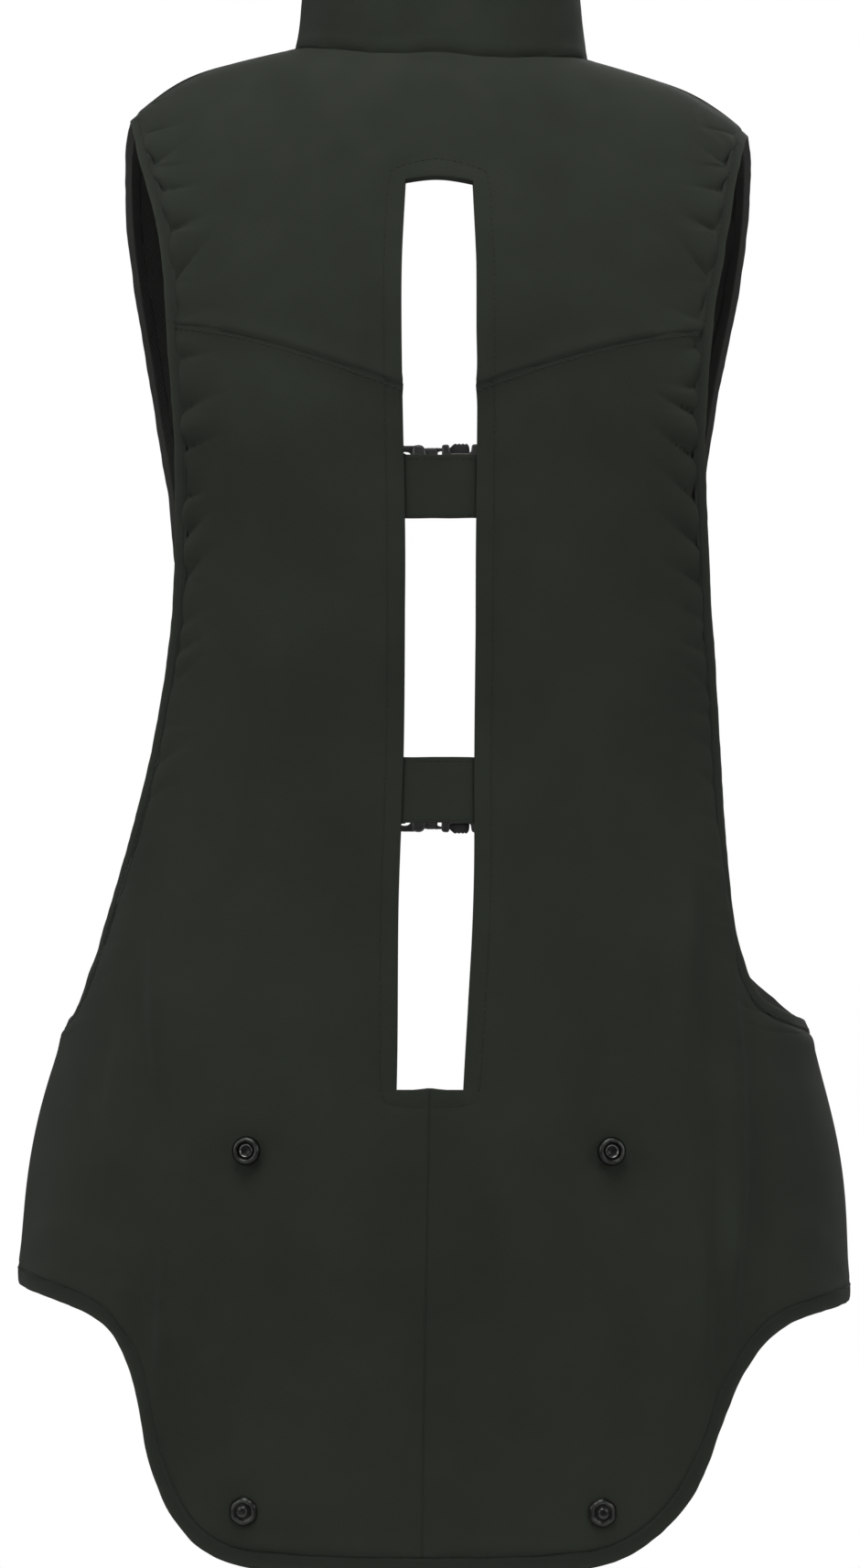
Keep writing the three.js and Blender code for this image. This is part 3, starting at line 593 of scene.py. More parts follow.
def close_seams(piece: bpy.types.Object, names: Iterable[str], reach: float, lap: float,
                which: np.ndarray | None = None, fade: float = 0.0) -> None:
    """Draws the piece's edge over the seam gap.

    Args:
        piece: The piece whose edge moves.
        names: The neighbours' nodes.
        reach: Only points this near a neighbour move.
        lap: How far they go on past the neighbour's surface.
        which: Marks the points that may move, or none for all.
        fade: Width of the outer part of the reach where they move less and less.
    """
    tree = tree_of(names)
    points = points_of(piece.data)
    chosen = range(len(points)) if which is None else np.flatnonzero(which)
    for k in chosen:
        place, _, _, far = tree.find_nearest(Vector(points[k]), reach)
        if place is not None and far > 1e-7:
            share = min(1.0, (reach - far) / fade) if fade else 1.0
            points[k] += (np.array(place) - points[k]) * (1 + lap / far) * share
    put_points(piece.data, points)


def relax(piece: bpy.types.Object, freedom: np.ndarray, rounds: int) -> None:
    """Evens out a surface by stepping its points to the middle of their neighbours.

    Args:
        piece: The piece to even out.
        freedom: How far each point may step, from 0 to 1.
        rounds: Number of steps.
    """
    mesh = piece.data
    a, b = numbers(mesh.edges, "vertices", 2).reshape(-1, 2).T
    points = points_of(mesh)
    size = len(points)
    share = (0.5 * freedom / (np.bincount(a, minlength=size) + np.bincount(b, minlength=size)))[:, None]
    for _ in range(rounds):
        apart_by = points[b] - points[a]
        pull = [np.bincount(a, apart_by[:, k], size) - np.bincount(b, apart_by[:, k], size) for k in range(3)]
        points = points + np.stack(pull, axis=1) * share
    put_points(mesh, points)


def refine(piece: bpy.types.Object, wanted: np.ndarray) -> None:
    """Halves the mesh's cells between wanted points."""
    with editing(piece.data) as form:
        edges = [edge for edge in form.edges if all(wanted[vertex.index] for vertex in edge.verts)]
        bmesh.ops.subdivide_edges(form, edges=edges, cuts=1, use_grid_fill=True, smooth=0.0)


def round_rims(piece: bpy.types.Object, rims: np.ndarray, radius: float) -> None:
    """Rounds marked edges, and gives the rounding the darker seam cloth, painted shade in the seam."""
    mesh = piece.data
    layer = mesh.attributes.new("bevel_weight_edge", "FLOAT", "EDGE")
    layer.data.foreach_set("value", rims.astype(np.float32))
    rounding = piece.modifiers.new("rounding", "BEVEL")
    rounding.limit_method = "WEIGHT"
    rounding.width = radius
    rounding.segments = 2
    rounding.material = Face.SEAM.value
    settle(piece)


def sharp_edges(mesh: bpy.types.Mesh) -> np.ndarray:
    """Marks the mesh's sharp edges."""
    form = bmesh.new()
    form.from_mesh(mesh)
    sharp = np.array([edge.calc_face_angle(0) > SHARP_FOLD for edge in form.edges])
    form.free()
    return sharp


def lay_weave(piece: bpy.types.Object) -> None:
    """Gives the piece a UV map in metres, flat on the plane that each face lies nearest to."""
    mesh = piece.data
    layer = mesh.uv_layers.get(WEAVE_UV) or mesh.uv_layers.new(name=WEAVE_UV)
    plane = np.abs(vectors(mesh.polygons, "normal")).argmax(1)
    axes = np.array([(1, 2), (0, 2), (0, 1)])[np.repeat(plane, numbers(mesh.polygons, "loop_total"))]
    corners = points_of(mesh)[numbers(mesh.loops, "vertex_index")]
    layer.data.foreach_set("uv", np.take_along_axis(corners, axes, axis=1).astype(np.float32).ravel())


def mark_painted_light(piece: bpy.types.Object, values: np.ndarray) -> None:
    """Stores the painted light at each vertex: painted highlight near a folded edge, painted shade below
    zero.
    """
    mesh = piece.data
    layer = mesh.attributes.get(PAINTED_LIGHT_AND_WEAR) or mesh.attributes.new(PAINTED_LIGHT_AND_WEAR, "FLOAT", "POINT")
    layer.data.foreach_set("value", values.astype(np.float32))


def dress(piece: bpy.types.Object, *finishes: Finish) -> None:
    """Gives the piece its finishes and smooth shading."""
    piece.data.materials.clear()
    for finish in finishes:
        piece.data.materials.append(finish_of(finish))
    piece.data.shade_smooth()


def stand_for(piece: bpy.types.Object, slot: str, *nodes: str) -> None:
    """The piece rides on the body, in place of its nodes."""
    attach(piece, BODY)
    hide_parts(*nodes)
    LOG.info("%s: %d vertices", piece.name, len(piece.data.vertices))


# Edges and stitches.


@dataclass
class ClothEdge:
    """A run along the outer rim of a piece, with the way into the piece and the outward normal."""

    points: Points
    inward: Points
    normals: Points

    def __len__(self) -> int:
        """Number of points."""
        return len(self.points)

    def length(self) -> float:
        """Length of the run in metres."""
        return float(np.linalg.norm(np.diff(self.points, axis=0), axis=1).sum())

    def turned(self) -> "ClothEdge":
        """The same run from its other end."""
        return ClothEdge(self.points[::-1], self.inward[::-1], self.normals[::-1])

    def then(self, other: "ClothEdge") -> "ClothEdge":
        """This run followed by another."""
        pairs = zip((self.points, self.inward, self.normals), (other.points, other.inward, other.normals))
        return ClothEdge(*(np.concatenate(pair) for pair in pairs))

    def spaced(self, step: float) -> "ClothEdge":
        """The run again, with points at even steps."""
        along = np.concatenate([[0], np.cumsum(np.linalg.norm(np.diff(self.points, axis=0), axis=1))])
        at = np.linspace(0, along[-1], max(2, round(along[-1] / step) + 1))
        drawn = [np.stack([np.interp(at, along, values[:, k]) for k in range(3)], axis=1)
                 for values in (self.points, self.inward, self.normals)]
        return ClothEdge(*drawn)


def unit(arrows: Points) -> Points:
    """Vectors at length 1."""
    return arrows / np.maximum(np.linalg.norm(arrows, axis=1, keepdims=True), 1e-12)


def rim_runs(mesh: bpy.types.Mesh) -> list[ClothEdge]:
    """Runs along the sharp edges of a mesh's outer face, split where such edges meet at a corner.

    Args:
        mesh: A merged mesh of quads.

    Returns:
        The runs, in the order in which they are found.
    """
    form = bmesh.new()
    form.from_mesh(mesh)
    sharp = [edge for edge in form.edges if edge.calc_face_angle(0) > SHARP_FOLD]
    fans: dict = {}
    for edge in sharp:
        for vertex in edge.verts:
            fans.setdefault(vertex, []).append(edge)
    ends = [vertex for vertex, fan in fans.items() if len(fan) != 2]
    starts = [(vertex, edge) for vertex in ends for edge in fans[vertex]]
    starts += [(edge.verts[0], edge) for edge in sharp]
    used: set = set()
    runs = []
    for vertex, edge in starts:
        chain = []
        while edge is not None and edge not in used:
            used.add(edge)
            chain.append((vertex, edge))
            vertex = edge.other_vert(vertex)
            edge = next((e for e in fans[vertex] if e not in used), None) if len(fans[vertex]) == 2 else None
        if chain:
            run = rim_run(chain, vertex)
            if outwardness(run.points, run.normals).mean() > 0.35:
                runs.append(run)
    form.free()
    return runs


def rim_run(chain: Sequence[tuple], last: bmesh.types.BMVert) -> ClothEdge:
    """The run along a chain of edges, given as pairs of a vertex and the edge that leaves it.

    Args:
        chain: The pairs, in order.
        last: The vertex that the last edge ends at.

    Returns:
        The run on the face beside the chain that points most off the body.
    """
    inward, normals = [], []
    for _, edge in chain:
        middle = (edge.verts[0].co + edge.verts[1].co) / 2
        scores = [outwardness(np.array([middle]), np.array([face.normal]))[0] for face in edge.link_faces]
        face = edge.link_faces[int(np.argmax(scores))]
        along = (edge.verts[1].co - edge.verts[0].co).normalized()
        across = face.calc_center_median() - middle
        inward.append((across - along * across.dot(along)).normalized())
        normals.append(face.normal.copy())
    points = np.array([vertex.co for vertex, _ in chain] + [last.co])
    return ClothEdge(points, *(unit(at_corners(np.array(values))) for values in (inward, normals)))


def at_corners(values: Points) -> Points:
    """Values of edges, averaged to the points between them."""
    return (np.concatenate([values[:1], values]) + np.concatenate([values, values[-1:]])) / 2


def near(runs: Iterable[ClothEdge], names: Iterable[str], beside: bool = True) -> list[ClothEdge]:
    """The runs that lie along some nodes, or those that don't where beside is false."""
    tree = tree_of(names)
    gaps = ((run, np.median(reach_to(tree, run.spaced(4 * MM).points, 1))) for run in runs)
    return [run for run, gap in gaps if (gap < SEAM_GAP) == beside]


def apart(runs: Iterable[ClothEdge], names: Iterable[str]) -> list[ClothEdge]:
    """The runs that lie along none of some nodes."""
    return near(runs, names, beside=False)


def dots_along(runs: Iterable[ClothEdge], step: float) -> Points:
    """Points at even steps along some runs."""
    return np.concatenate([run.spaced(step).points for run in runs])


def joined(runs: Sequence[ClothEdge]) -> list[ClothEdge]:
    """Runs that share an end, made one."""
    left = list(runs)
    whole = []
    while left:
        run = left.pop(0)
        grown = True
        while grown:
            grown = False
            for k, other in enumerate(left):
                fits = [(a, b) for a in (run, run.turned()) for b in (other, other.turned())
                        if np.linalg.norm(a.points[-1] - b.points[0]) < 0.05 * MM]
                if fits:
                    run = fits[0][0].then(fits[0][1])
                    left.pop(k)
                    grown = True
                    break
        whole.append(run)
    return whole


@dataclass
class Stitching:
    """Rows of running stitches on the cloth, made by one tree of nodes."""

    name: str
    pitch: float = 3.4 * MM
    length: float = 2.5 * MM
    width: float = 0.55 * MM
    height: float = 0.1 * MM
    rows: list[ClothEdge] = field(default_factory=list)

    def sew(self, runs: Iterable[ClothEdge], inset: float, carrier: bpy.types.Object,
            rounding: float = 0.0) -> None:
        """Adds rows beside some runs.

        Args:
            runs: The edges that the rows follow.
            inset: Distance from the edge into the piece.
            carrier: The piece that the rows lie on.
            rounding: Length over which a corner is rounded.
        """
        cloth = BVHTree.FromPolygons([v.co for v in carrier.data.vertices],
                                     [p.vertices for p in carrier.data.polygons])
        for run in runs:
            row = run.spaced(ROW_STEP)
            inward = row.inward
            if rounding:
                inward = unit(smoothed(inward, round(rounding / ROW_STEP)))
            row.points = row.points + inward * inset
            found = [cloth.find_nearest(Vector(point)) for point in row.points]
            row.normals = np.array([hit[1] for hit in found])
            row.points = np.array([hit[0] for hit in found]) + row.normals * self.height
            self.rows.append(row)

    def build(self) -> None:
        """Makes the stitches' mesh and its piece."""
        count = np.cumsum([0] + [len(row) for row in self.rows])
        edges = [(k, k + 1) for a, b in zip(count, count[1:]) for k in range(a, b - 1)]
        mesh = bpy.data.meshes.new(self.name)
        mesh.from_pydata(np.concatenate([row.points for row in self.rows]).tolist(), edges, [])
        lift = mesh.attributes.new("lift", "FLOAT_VECTOR", "POINT")
        normals = np.concatenate([row.normals for row in self.rows])
        lift.data.foreach_set("vector", normals.astype(np.float32).ravel())
        piece = add_object(self.name, mesh)
        tree, sockets = stitch_tree()
        modifier = piece.modifiers.new("stitches", "NODES")
        modifier.node_group = tree
        values = {"Pitch": self.pitch, "Length": self.length, "Width": self.width,
                  "Finish": finish_of(THREAD)}
        for label, value in values.items():
            modifier[sockets[label]] = value
        settle(piece)
        piece.data.shade_smooth()
        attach(piece, BODY)
        LOG.info("%s: %d rows, %d faces", self.name, len(self.rows), len(piece.data.polygons))


def smoothed(values: Points, count: int) -> Points:
    """Values averaged over a number of neighbours on each side."""
    kernel = np.ones(2 * count + 1) / (2 * count + 1)
    padded = np.concatenate([np.repeat(values[:1], count, 0), values, np.repeat(values[-1:], count, 0)])
    return np.stack([np.convolve(padded[:, k], kernel, "valid") for k in range(3)], axis=1)


def stitch_tree() -> tuple[bpy.types.NodeTree, dict[str, str]]:
    """The tree that sets stitches along lines, made once.

    Returns:
        The tree, and the identifiers of its named inputs.
    """
    name = "running_stitch"
    tree = bpy.data.node_groups.get(name)
    if tree is None:
        tree = bpy.data.node_groups.new(name, "GeometryNodeTree")
        face = tree.interface
        face.new_socket("Geometry", in_out="OUTPUT", socket_type="NodeSocketGeometry")
        face.new_socket("Lines", in_out="INPUT", socket_type="NodeSocketGeometry")
        for label in ("Pitch", "Length", "Width"):
            face.new_socket(label, in_out="INPUT", socket_type="NodeSocketFloat")
        face.new_socket("Finish", in_out="INPUT", socket_type="NodeSocketMaterial")
        fill_stitch_tree(tree)
    items = tree.interface.items_tree
    return tree, {item.name: item.identifier for item in items if item.in_out == "INPUT"}


def fill_stitch_tree(tree: bpy.types.NodeTree) -> None:
    """Adds the nodes that turn lines into stitches."""

    def add(kind: str, settings: dict | None = None, **inputs: object) -> bpy.types.NodeOutputs:
        """Adds a node with its settings and its sockets' values or links, and gives its outputs."""
        made = tree.nodes.new(kind)
        for key, value in (settings or {}).items():
            setattr(made, key, value)
        for key, value in inputs.items():
            socket = made.inputs[key.replace("_", " ")]
            if isinstance(value, bpy.types.NodeSocket):
                tree.links.new(value, socket)
            else:
                socket.default_value = value
        return made.outputs

    given = add("NodeGroupInput")
    lines = add("GeometryNodeMeshToCurve", Mesh=given["Lines"])[0]
    spots = add("GeometryNodeResampleCurve", {"mode": "LENGTH"}, Curve=lines, Length=given["Pitch"])[0]
    tangent = add("GeometryNodeInputTangent")[0]
    lift = add("GeometryNodeInputNamedAttribute", {"data_type": "FLOAT_VECTOR"}, Name="lift")["Attribute"]
    turn = add("FunctionNodeAlignRotationToVector", {"axis": "X"}, Vector=tangent)[0]
    turn = add("FunctionNodeAlignRotationToVector", {"axis": "Z", "pivot_axis": "X"},
               Rotation=turn, Vector=lift)[0]
    size = add("ShaderNodeCombineXYZ", X=given["Length"], Y=given["Width"], Z=given["Width"])[0]
    bead = add("GeometryNodeMeshUVSphere", Segments=8, Rings=5, Radius=0.5)["Mesh"]
    sewn = add("GeometryNodeInstanceOnPoints", Points=spots, Instance=bead, Rotation=turn, Scale=size)[0]
    real = add("GeometryNodeRealizeInstances", Geometry=sewn)[0]
    dressed = add("GeometryNodeSetMaterial", Geometry=real, Material=given["Finish"])[0]
    add("NodeGroupOutput", Geometry=dressed)


# Soft forms.


PUFF_DRAWS = {
    "strength": (0.3, 1),
    "spread": (0.6, 1.5),
    "slant": (-0.9, -0.1),
    "slit_depth": (-0.2, 1),
    "slit_place": (0.15, 0.45),
}


@dataclass(frozen=True)
class Gathers:
    """Scalloped puffs that a binding's seam draws into a padded edge."""

    seed: int
    swell: float = 8.0 * MM
    reach: float = 9.5 * MM
    slit: float = 1.8 * MM
    creep: float = 2.0 * MM
    closest: float = 12 * MM
    widest: float = 26 * MM
    top: float = 60 * MM
    bottom: float = -560 * MM
    rise_run: float = 2.6 * MM
    seam_place: float = 0.5 * MM
    seam_width: float = 1.9 * MM
    creep_run: float = 4 * MM
    fade_heights: tuple[float, ...] = (-500 * MM, -320 * MM, -270 * MM)
    fade_shares: tuple[float, ...] = (0.12, 0.3, 1)

    def pucker(self, along: np.ndarray, off: np.ndarray) -> tuple[np.ndarray, np.ndarray, np.ndarray]:
        """Shape of the puffs.

        Args:
            along: Height of each point on the vest.
            off: Its distance from the binding.

        Returns:
            How far each point stands out, how far it creeps over the binding, and the painted shade of the
            slits at the seam.
        """
        draw = np.random.default_rng(self.seed)
        count = int((self.top - self.bottom) / self.closest) + 1
        knots = self.bottom + np.cumsum(draw.uniform(self.closest, self.widest, count))
        strength, spread, slant, depth, place = (draw.uniform(*ends, count) for ends in PUFF_DRAWS.values())
        first = np.clip(np.searchsorted(knots, along) - 1, 0, count - 2)
        at = along + slant[first] * off
        k = np.clip(np.searchsorted(knots, at) - 1, 0, count - 2)
        gap = knots[k + 1] - knots[k]
        share = np.clip((at - knots[k]) / gap, 0, 1)
        puff = (np.sin(math.pi * share) ** 0.7 - 0.5) * strength[k]
        rise = 1 - 0.85 * np.exp(-off / self.rise_run)
        lift = self.swell * puff * rise * np.exp(-((off / (self.reach * spread[k])) ** 1.5))
        slits = np.clip(depth[k], 0, 1) * np.exp(-((share - place[k]) / 0.24) ** 2)
        seam = np.exp(-(((off - self.seam_place) / self.seam_width) ** 2))
        lift -= self.slit * slits * seam
        creep = self.creep * np.clip(puff + 0.2, 0, 1) * np.exp(-off / self.creep_run)
        lower = np.interp(along, self.fade_heights, self.fade_shares)
        # The third value is painted shade for the dark slits at the binding's seam.
        return lift * lower, creep * lower, slits * seam * lower


@dataclass(frozen=True)
class Fold:
    """A soft ridge down the cloth, between two places seen from behind."""

    start: tuple[float, float]
    end: tuple[float, float]
    height: float
    width: float
    steep: float = 1.0
    wander: float = 3 * MM

    def lift(self, points: Points) -> np.ndarray:
        """Height of the ridge at each point, steeper towards the side seam."""
        a, b = np.array(self.start), np.array(self.end)
        run = b - a
        flat = points[:, [0, 2]] - a
        share = flat @ run / (run @ run)
        side = flat - np.clip(share, 0, 1)[:, None] * run
        side[:, 0] += self.wander * np.sin(8 * share + 90 * a[0])
        width = np.where(side[:, 0] * a[0] > 0, self.width * self.steep, self.width)
        ends = np.clip(np.minimum(share, 1 - share) * 4, 0, 1)
        ends = ends * ends * (0.7 + 0.3 * np.sin(11 * share + 50 * a[0])) * (points[:, 1] < 0)
        return self.height * np.exp(-(np.linalg.norm(side, axis=1) / width) ** 2) * ends


@dataclass(frozen=True)
class Ripple:
    """Slow random swells of a height, with lumps of about a size."""

    height: float
    size: float
    seed: float

    def lift(self, points: Points) -> np.ndarray:
        """Height of the swells at each point."""
        shift = Vector((self.seed, 2 * self.seed, 3 * self.seed))
        return self.height * np.array([noise.noise(Vector(point) / self.size + shift) for point in points])


ARMHOLES = ("armhole_binding_left", "armhole_binding_right")
HEM = "hem_binding"
BINDINGS = (*ARMHOLES, HEM)
PANELS = ("back_yoke", "back_panel_left", "back_panel_right", "front_panel_left", "front_panel_right")


@dataclass
class PaddedPanel:
    """A padded cloth panel: smoothed from its solid, swollen as cloth and gathered at the armhole."""

    node: str
    gathers: Gathers
    folds: tuple[Fold, ...] = ()
    fill: float = 0.35
    swell_limit: float = 3 * MM
    sway: Ripple = Ripple(0.9 * MM, 75 * MM, 3.0)
    calm_run: float = 25 * MM
    puff_calm: float = 9 * MM
    gathered_run: float = 25 * MM
    rim_rise: float = 1.35 * MM
    rim_radius: float = 0.6 * MM
    seam_run: float = 13 * MM
    seam_shade: float = 0.5
    facing_dent: float = 0.35 * MM
    dent_width: float = 1.6 * MM
    piece: bpy.types.Object = field(init=False)
    rims: list[ClothEdge] = field(init=False)
    facing: list[ClothEdge] = field(init=False)
    start: Points = field(init=False)

    def cut(self) -> None:
        """Makes the panel's smooth form and pins what the seams hold."""
        self.piece, self.rims = smooth_copy(self.node, f"{self.node}_cloth", hardness=1.0, levels=2)
        others = [name for name in (*PANELS, *BINDINGS, "collar") if name != self.node]
        self.facing = [run for run in joined(apart(self.rims, others)) if run.length() > SHORTEST_FACING]
        relax(self.piece, self.looseness(tight=2 * MM, loose=8 * MM), rounds=16)
        self.start = points_of(self.piece.data)
        self.fill_with_air()

    def looseness(self, tight: float, loose: float) -> np.ndarray:
        """How free the points are.

        Args:
            tight: Points this near the rim are held.
            loose: Points this far from it are free.

        Returns:
            0 at the rim and inside, up to 1 on the open outer face.
        """
        points, normals = surface_of(self.piece)
        to_rim = nearest(dots_along(self.rims, 3 * MM), points)
        return np.clip((to_rim - tight) / (loose - tight), 0, 1) * (outwardness(points, normals) > 0.3)

    def fill_with_air(self) -> None:
        """Adds the cloth that the padding swells, with spare length beside the armhole."""
        points = points_of(self.piece.data)
        spare = np.exp(-reach_to(tree_of(ARMHOLES), points, 90 * MM) / (16 * MM))
        held = 1 - self.looseness(tight=3 * MM, loose=12 * MM)
        for name, weights in (("held", held), ("spare", spare)):
            group = self.piece.vertex_groups.new(name=name)
            for k, weight in enumerate(weights):
                group.add([k], float(weight), "REPLACE")
        cloth = self.piece.modifiers.new("cloth", "CLOTH")
        settings = cloth.settings
        settings.quality = 5
        settings.mass = 0.25
        settings.air_damping = 4
        settings.tension_stiffness = settings.compression_stiffness = 12
        settings.shear_stiffness = 6
        settings.bending_stiffness = 4
        settings.use_pressure = True
        settings.uniform_pressure_force = 0.6
        settings.vertex_group_mass = "held"
        settings.vertex_group_shrink = "spare"
        settings.shrink_min, settings.shrink_max = 0.0, -0.05
        settings.effector_weights.gravity = 0
        cloth.collision_settings.use_collision = False
        cloth.collision_settings.use_self_collision = False

    def finish(self) -> None:
        """Takes over the swollen cloth, gathers and folds it, and dresses the panel."""
        if self.piece.modifiers:
            settle(self.piece)
            moved = points_of(self.piece.data) - self.start
            far = np.linalg.norm(moved, axis=1, keepdims=True)
            moved *= np.minimum(1, self.swell_limit / np.maximum(far, 1e-9))
            put_points(self.piece.data, self.start + moved)
            self.piece.vertex_groups.clear()
        subdivide(self.piece, 1)
        relax(self.piece, self.looseness(tight=1.5 * MM, loose=6 * MM), rounds=6)
        armholes = tree_of(ARMHOLES)
        points, normals = surface_of(self.piece)
        beside = reach_to(armholes, points, self.gathered_run) < self.gathered_run
        refine(self.piece, beside & (outwardness(points, normals) > 0.25))
        dress(self.piece, SHELL, LINING, SEAM_SHADE)
        self.shape(armholes)
        lay_weave(self.piece)
        line_inside(self.piece, back=-0.5, front=-0.5)
        stand_for(self.piece, "shell", self.node)

    def shape(self, armholes: BVHTree) -> None:
        """Raises seams, puckers and folds on the outer face, paints shade into the seams and slits, and
        closes the seams.

        Args:
            armholes: Search tree of the armhole bindings.
        """
        points, normals = surface_of(self.piece)
        others = [name for name in (*PANELS, "collar") if name != self.node]
        to_panel = reach_to(tree_of(others), points, 1.5 * MM)
        to_seam = reach_to(tree_of([*others, HEM]), points, self.calm_run)
        to_rim = nearest(dots_along(self.rims, ROW_STEP), points)
        wall = (to_panel < 0.8 * MM) & (to_rim > 1.1 * MM)
        rim_edges = sharp_edges(self.piece.data)
        outer = outer_share(points, normals)
        lift = self.sway.lift(points) * np.clip(to_seam / self.calm_run, 0, 1)
        lift += self.rim_rise * np.clip(1 - to_seam / self.seam_run, 0, 1) ** 2
        if self.facing:
            edge = nearest(dots_along(self.facing, ROW_STEP), points)
            lift -= self.facing_dent * np.exp(-(((edge - FACING_WIDTH) / self.dent_width) ** 2))
        for fold in self.folds:
            lift += fold.lift(points)
        shift = normals * (lift * outer)[:, None]
        off, way = way_to(armholes, points, 60 * MM)
        raised, creep, dark = self.gathers.pucker(points[:, 2], off)
        open_cloth = outer * np.clip(to_seam / self.puff_calm, 0, 1)
        shift += normals * (raised * open_cloth)[:, None] + way * (creep * open_cloth)[:, None]
        put_points(self.piece.data, points + shift)
        close_seams(self.piece, others, reach=1.2 * MM, lap=-0.17 * MM, which=wall)
        # Painted shade: the shell is darkened in the seams between panels and in the slits beside the
        # armhole, stored as negative values.
        seams = (to_panel < 1 * MM) & (to_rim < 0.9 * MM)
        mark_painted_light(self.piece, -np.where(seams, self.seam_shade, dark * outer))
        round_rims(self.piece, rim_edges, self.rim_radius)
        self.free_edges([*others, *BINDINGS])

    def free_edges(self, neighbours: Iterable[str]) -> None:
        """Gives rounded edges that no neighbour meets the shell's finish, so the seam's painted shade stays
        where pieces meet.
        """
        faces = self.piece.data.polygons
        finishes = numbers(faces, "material_index")
        rounded_edges = np.flatnonzero(finishes == Face.SEAM.value)
        centres = vectors(faces, "center")[rounded_edges]
        free = reach_to(tree_of(neighbours), centres, 4 * MM) > 2.5 * MM
        finishes[rounded_edges[free]] = Face.SHELL.value
        faces.foreach_set("material_index", finishes)


def line_inside(piece: bpy.types.Object, back: float, front: float) -> None:
    """Gives the faces that look towards the body the lining's finish: real lining on a panel, painted shade
    inside the armhole on a tape.

    Args:
        piece: The piece to line.
        back: How far off the body a lined face of the back may point, from -1 to 1.
        front: The same for the front.
    """
    faces = piece.data.polygons
    centres = vectors(faces, "center")
    limit = np.where(centres[:, 1] > 0, front, back)
    finishes = numbers(faces, "material_index")
    finishes[outwardness(centres, vectors(faces, "normal")) < limit] = Face.LINING.value
    faces.foreach_set("material_index", finishes)


def swell(panels: Iterable[PaddedPanel], frames: int = 20) -> None:
    """Runs the cloth of all panels together."""
    scene = bpy.context.scene
    scene.frame_start, scene.frame_end = 1, frames
    for panel in panels:
        for modifier in panel.piece.modifiers:
            modifier.point_cache.frame_start, modifier.point_cache.frame_end = 1, frames
    for step in range(1, frames + 1):
        scene.frame_set(step)
    LOG.info("cloth settled after %d steps", frames)


@dataclass
class Collar:
    """The padded stand-up collar."""

    node: str = "collar"
    fill: float = 0.4
    flare: float = 7 * MM
    foot_height: float = 10 * MM
    ripples: tuple[Ripple, ...] = (Ripple(0.9 * MM, 38 * MM, 7.0), Ripple(0.35 * MM, 14 * MM, 5.0))
    piece: bpy.types.Object = field(init=False)
    rims: list[ClothEdge] = field(init=False)

    def build(self) -> None:
        """Smooths the collar, wrinkles it lightly, flares its foot and closes its seam."""
        self.piece, self.rims = smooth_copy(self.node, "collar_cloth", hardness=0.92, levels=3)
        points, normals = surface_of(self.piece)
        free = reach_to(tree_of(PANELS), points, self.foot_height) / self.foot_height
        lift = sum(ripple.lift(points) for ripple in self.ripples)
        shift = normals * (lift * free)[:, None]
        foot = self.flare * (1 - free) ** 3 * outer_share(points, normals)
        shift[:, :2] += normals[:, :2] * foot[:, None]
        put_points(self.piece.data, points + shift)
        close_seams(self.piece, PANELS, reach=6 * MM, lap=1.2 * MM, fade=3.5 * MM)
        lay_weave(self.piece)
        mark_painted_light(self.piece, np.zeros(len(points)))
        dress(self.piece, SHELL)
        stand_for(self.piece, "shell", self.node)


@dataclass
class EdgeTape:
    """Tape folded over the edge of the panels."""

    node: str
    seed: float
    cut_width: float = 14 * MM
    rise: float = 0.0
    highlight_width: float = 1.3 * MM
    corner_reach: float = 12 * MM
    piece: bpy.types.Object = field(init=False)
    rims: list[ClothEdge] = field(init=False)

    def build(self) -> None:
        """Rounds the tape, draws it onto the panels, ripples it and paints a highlight along its fold."""
        self.piece, self.rims = smooth_copy(self.node, f"{self.node}_tape", hardness=0.62, levels=3)
        points, normals = surface_of(self.piece)
        fold_line = dots_along(apart(self.rims, PANELS), 2 * MM)
        # Painted highlight: the tape is lighter towards its folded edge.
        painted_light_and_wear = np.exp(-nearest(fold_line, points) / self.highlight_width)
        ripples = Ripple(0.5 * MM, 16 * MM, self.seed), Ripple(0.25 * MM, 6 * MM, self.seed)
        lift = sum(ripple.lift(points) for ripple in ripples) + self.rise * outer_share(points, normals)
        put_points(self.piece.data, points + normals * lift[:, None])
        corners = self.corners(points, normals)
        close_seams(self.piece, PANELS, reach=1.5 * MM, lap=0.3 * MM, which=~corners)
        close_seams(self.piece, PANELS, reach=7 * MM, lap=2.5 * MM, which=corners, fade=2 * MM)
        lay_weave(self.piece)
        mark_painted_light(self.piece, painted_light_and_wear)
        # Painted shade: tape faces towards the body, and on the front all but those facing squarely off it,
        # get the dark lining finish in place of tape.
        dress(self.piece, TAPE, LINING)
        line_inside(self.piece, back=0.1, front=0.7)
        stand_for(self.piece, "binding", self.node)
        longest = max(run.length() for run in self.rims)

    def corners(self, points: Points, normals: Points) -> np.ndarray:
        """Marks the points that face a corner where two panels meet."""
        off = np.sort([reach_to(tree_of([name]), points, self.corner_reach) for name in PANELS], axis=0)
        _, way = way_to(tree_of(PANELS), points, self.corner_reach)
        return (off[1] < 0.75 * self.corner_reach) & ((way * normals).sum(axis=1) > 0.2)


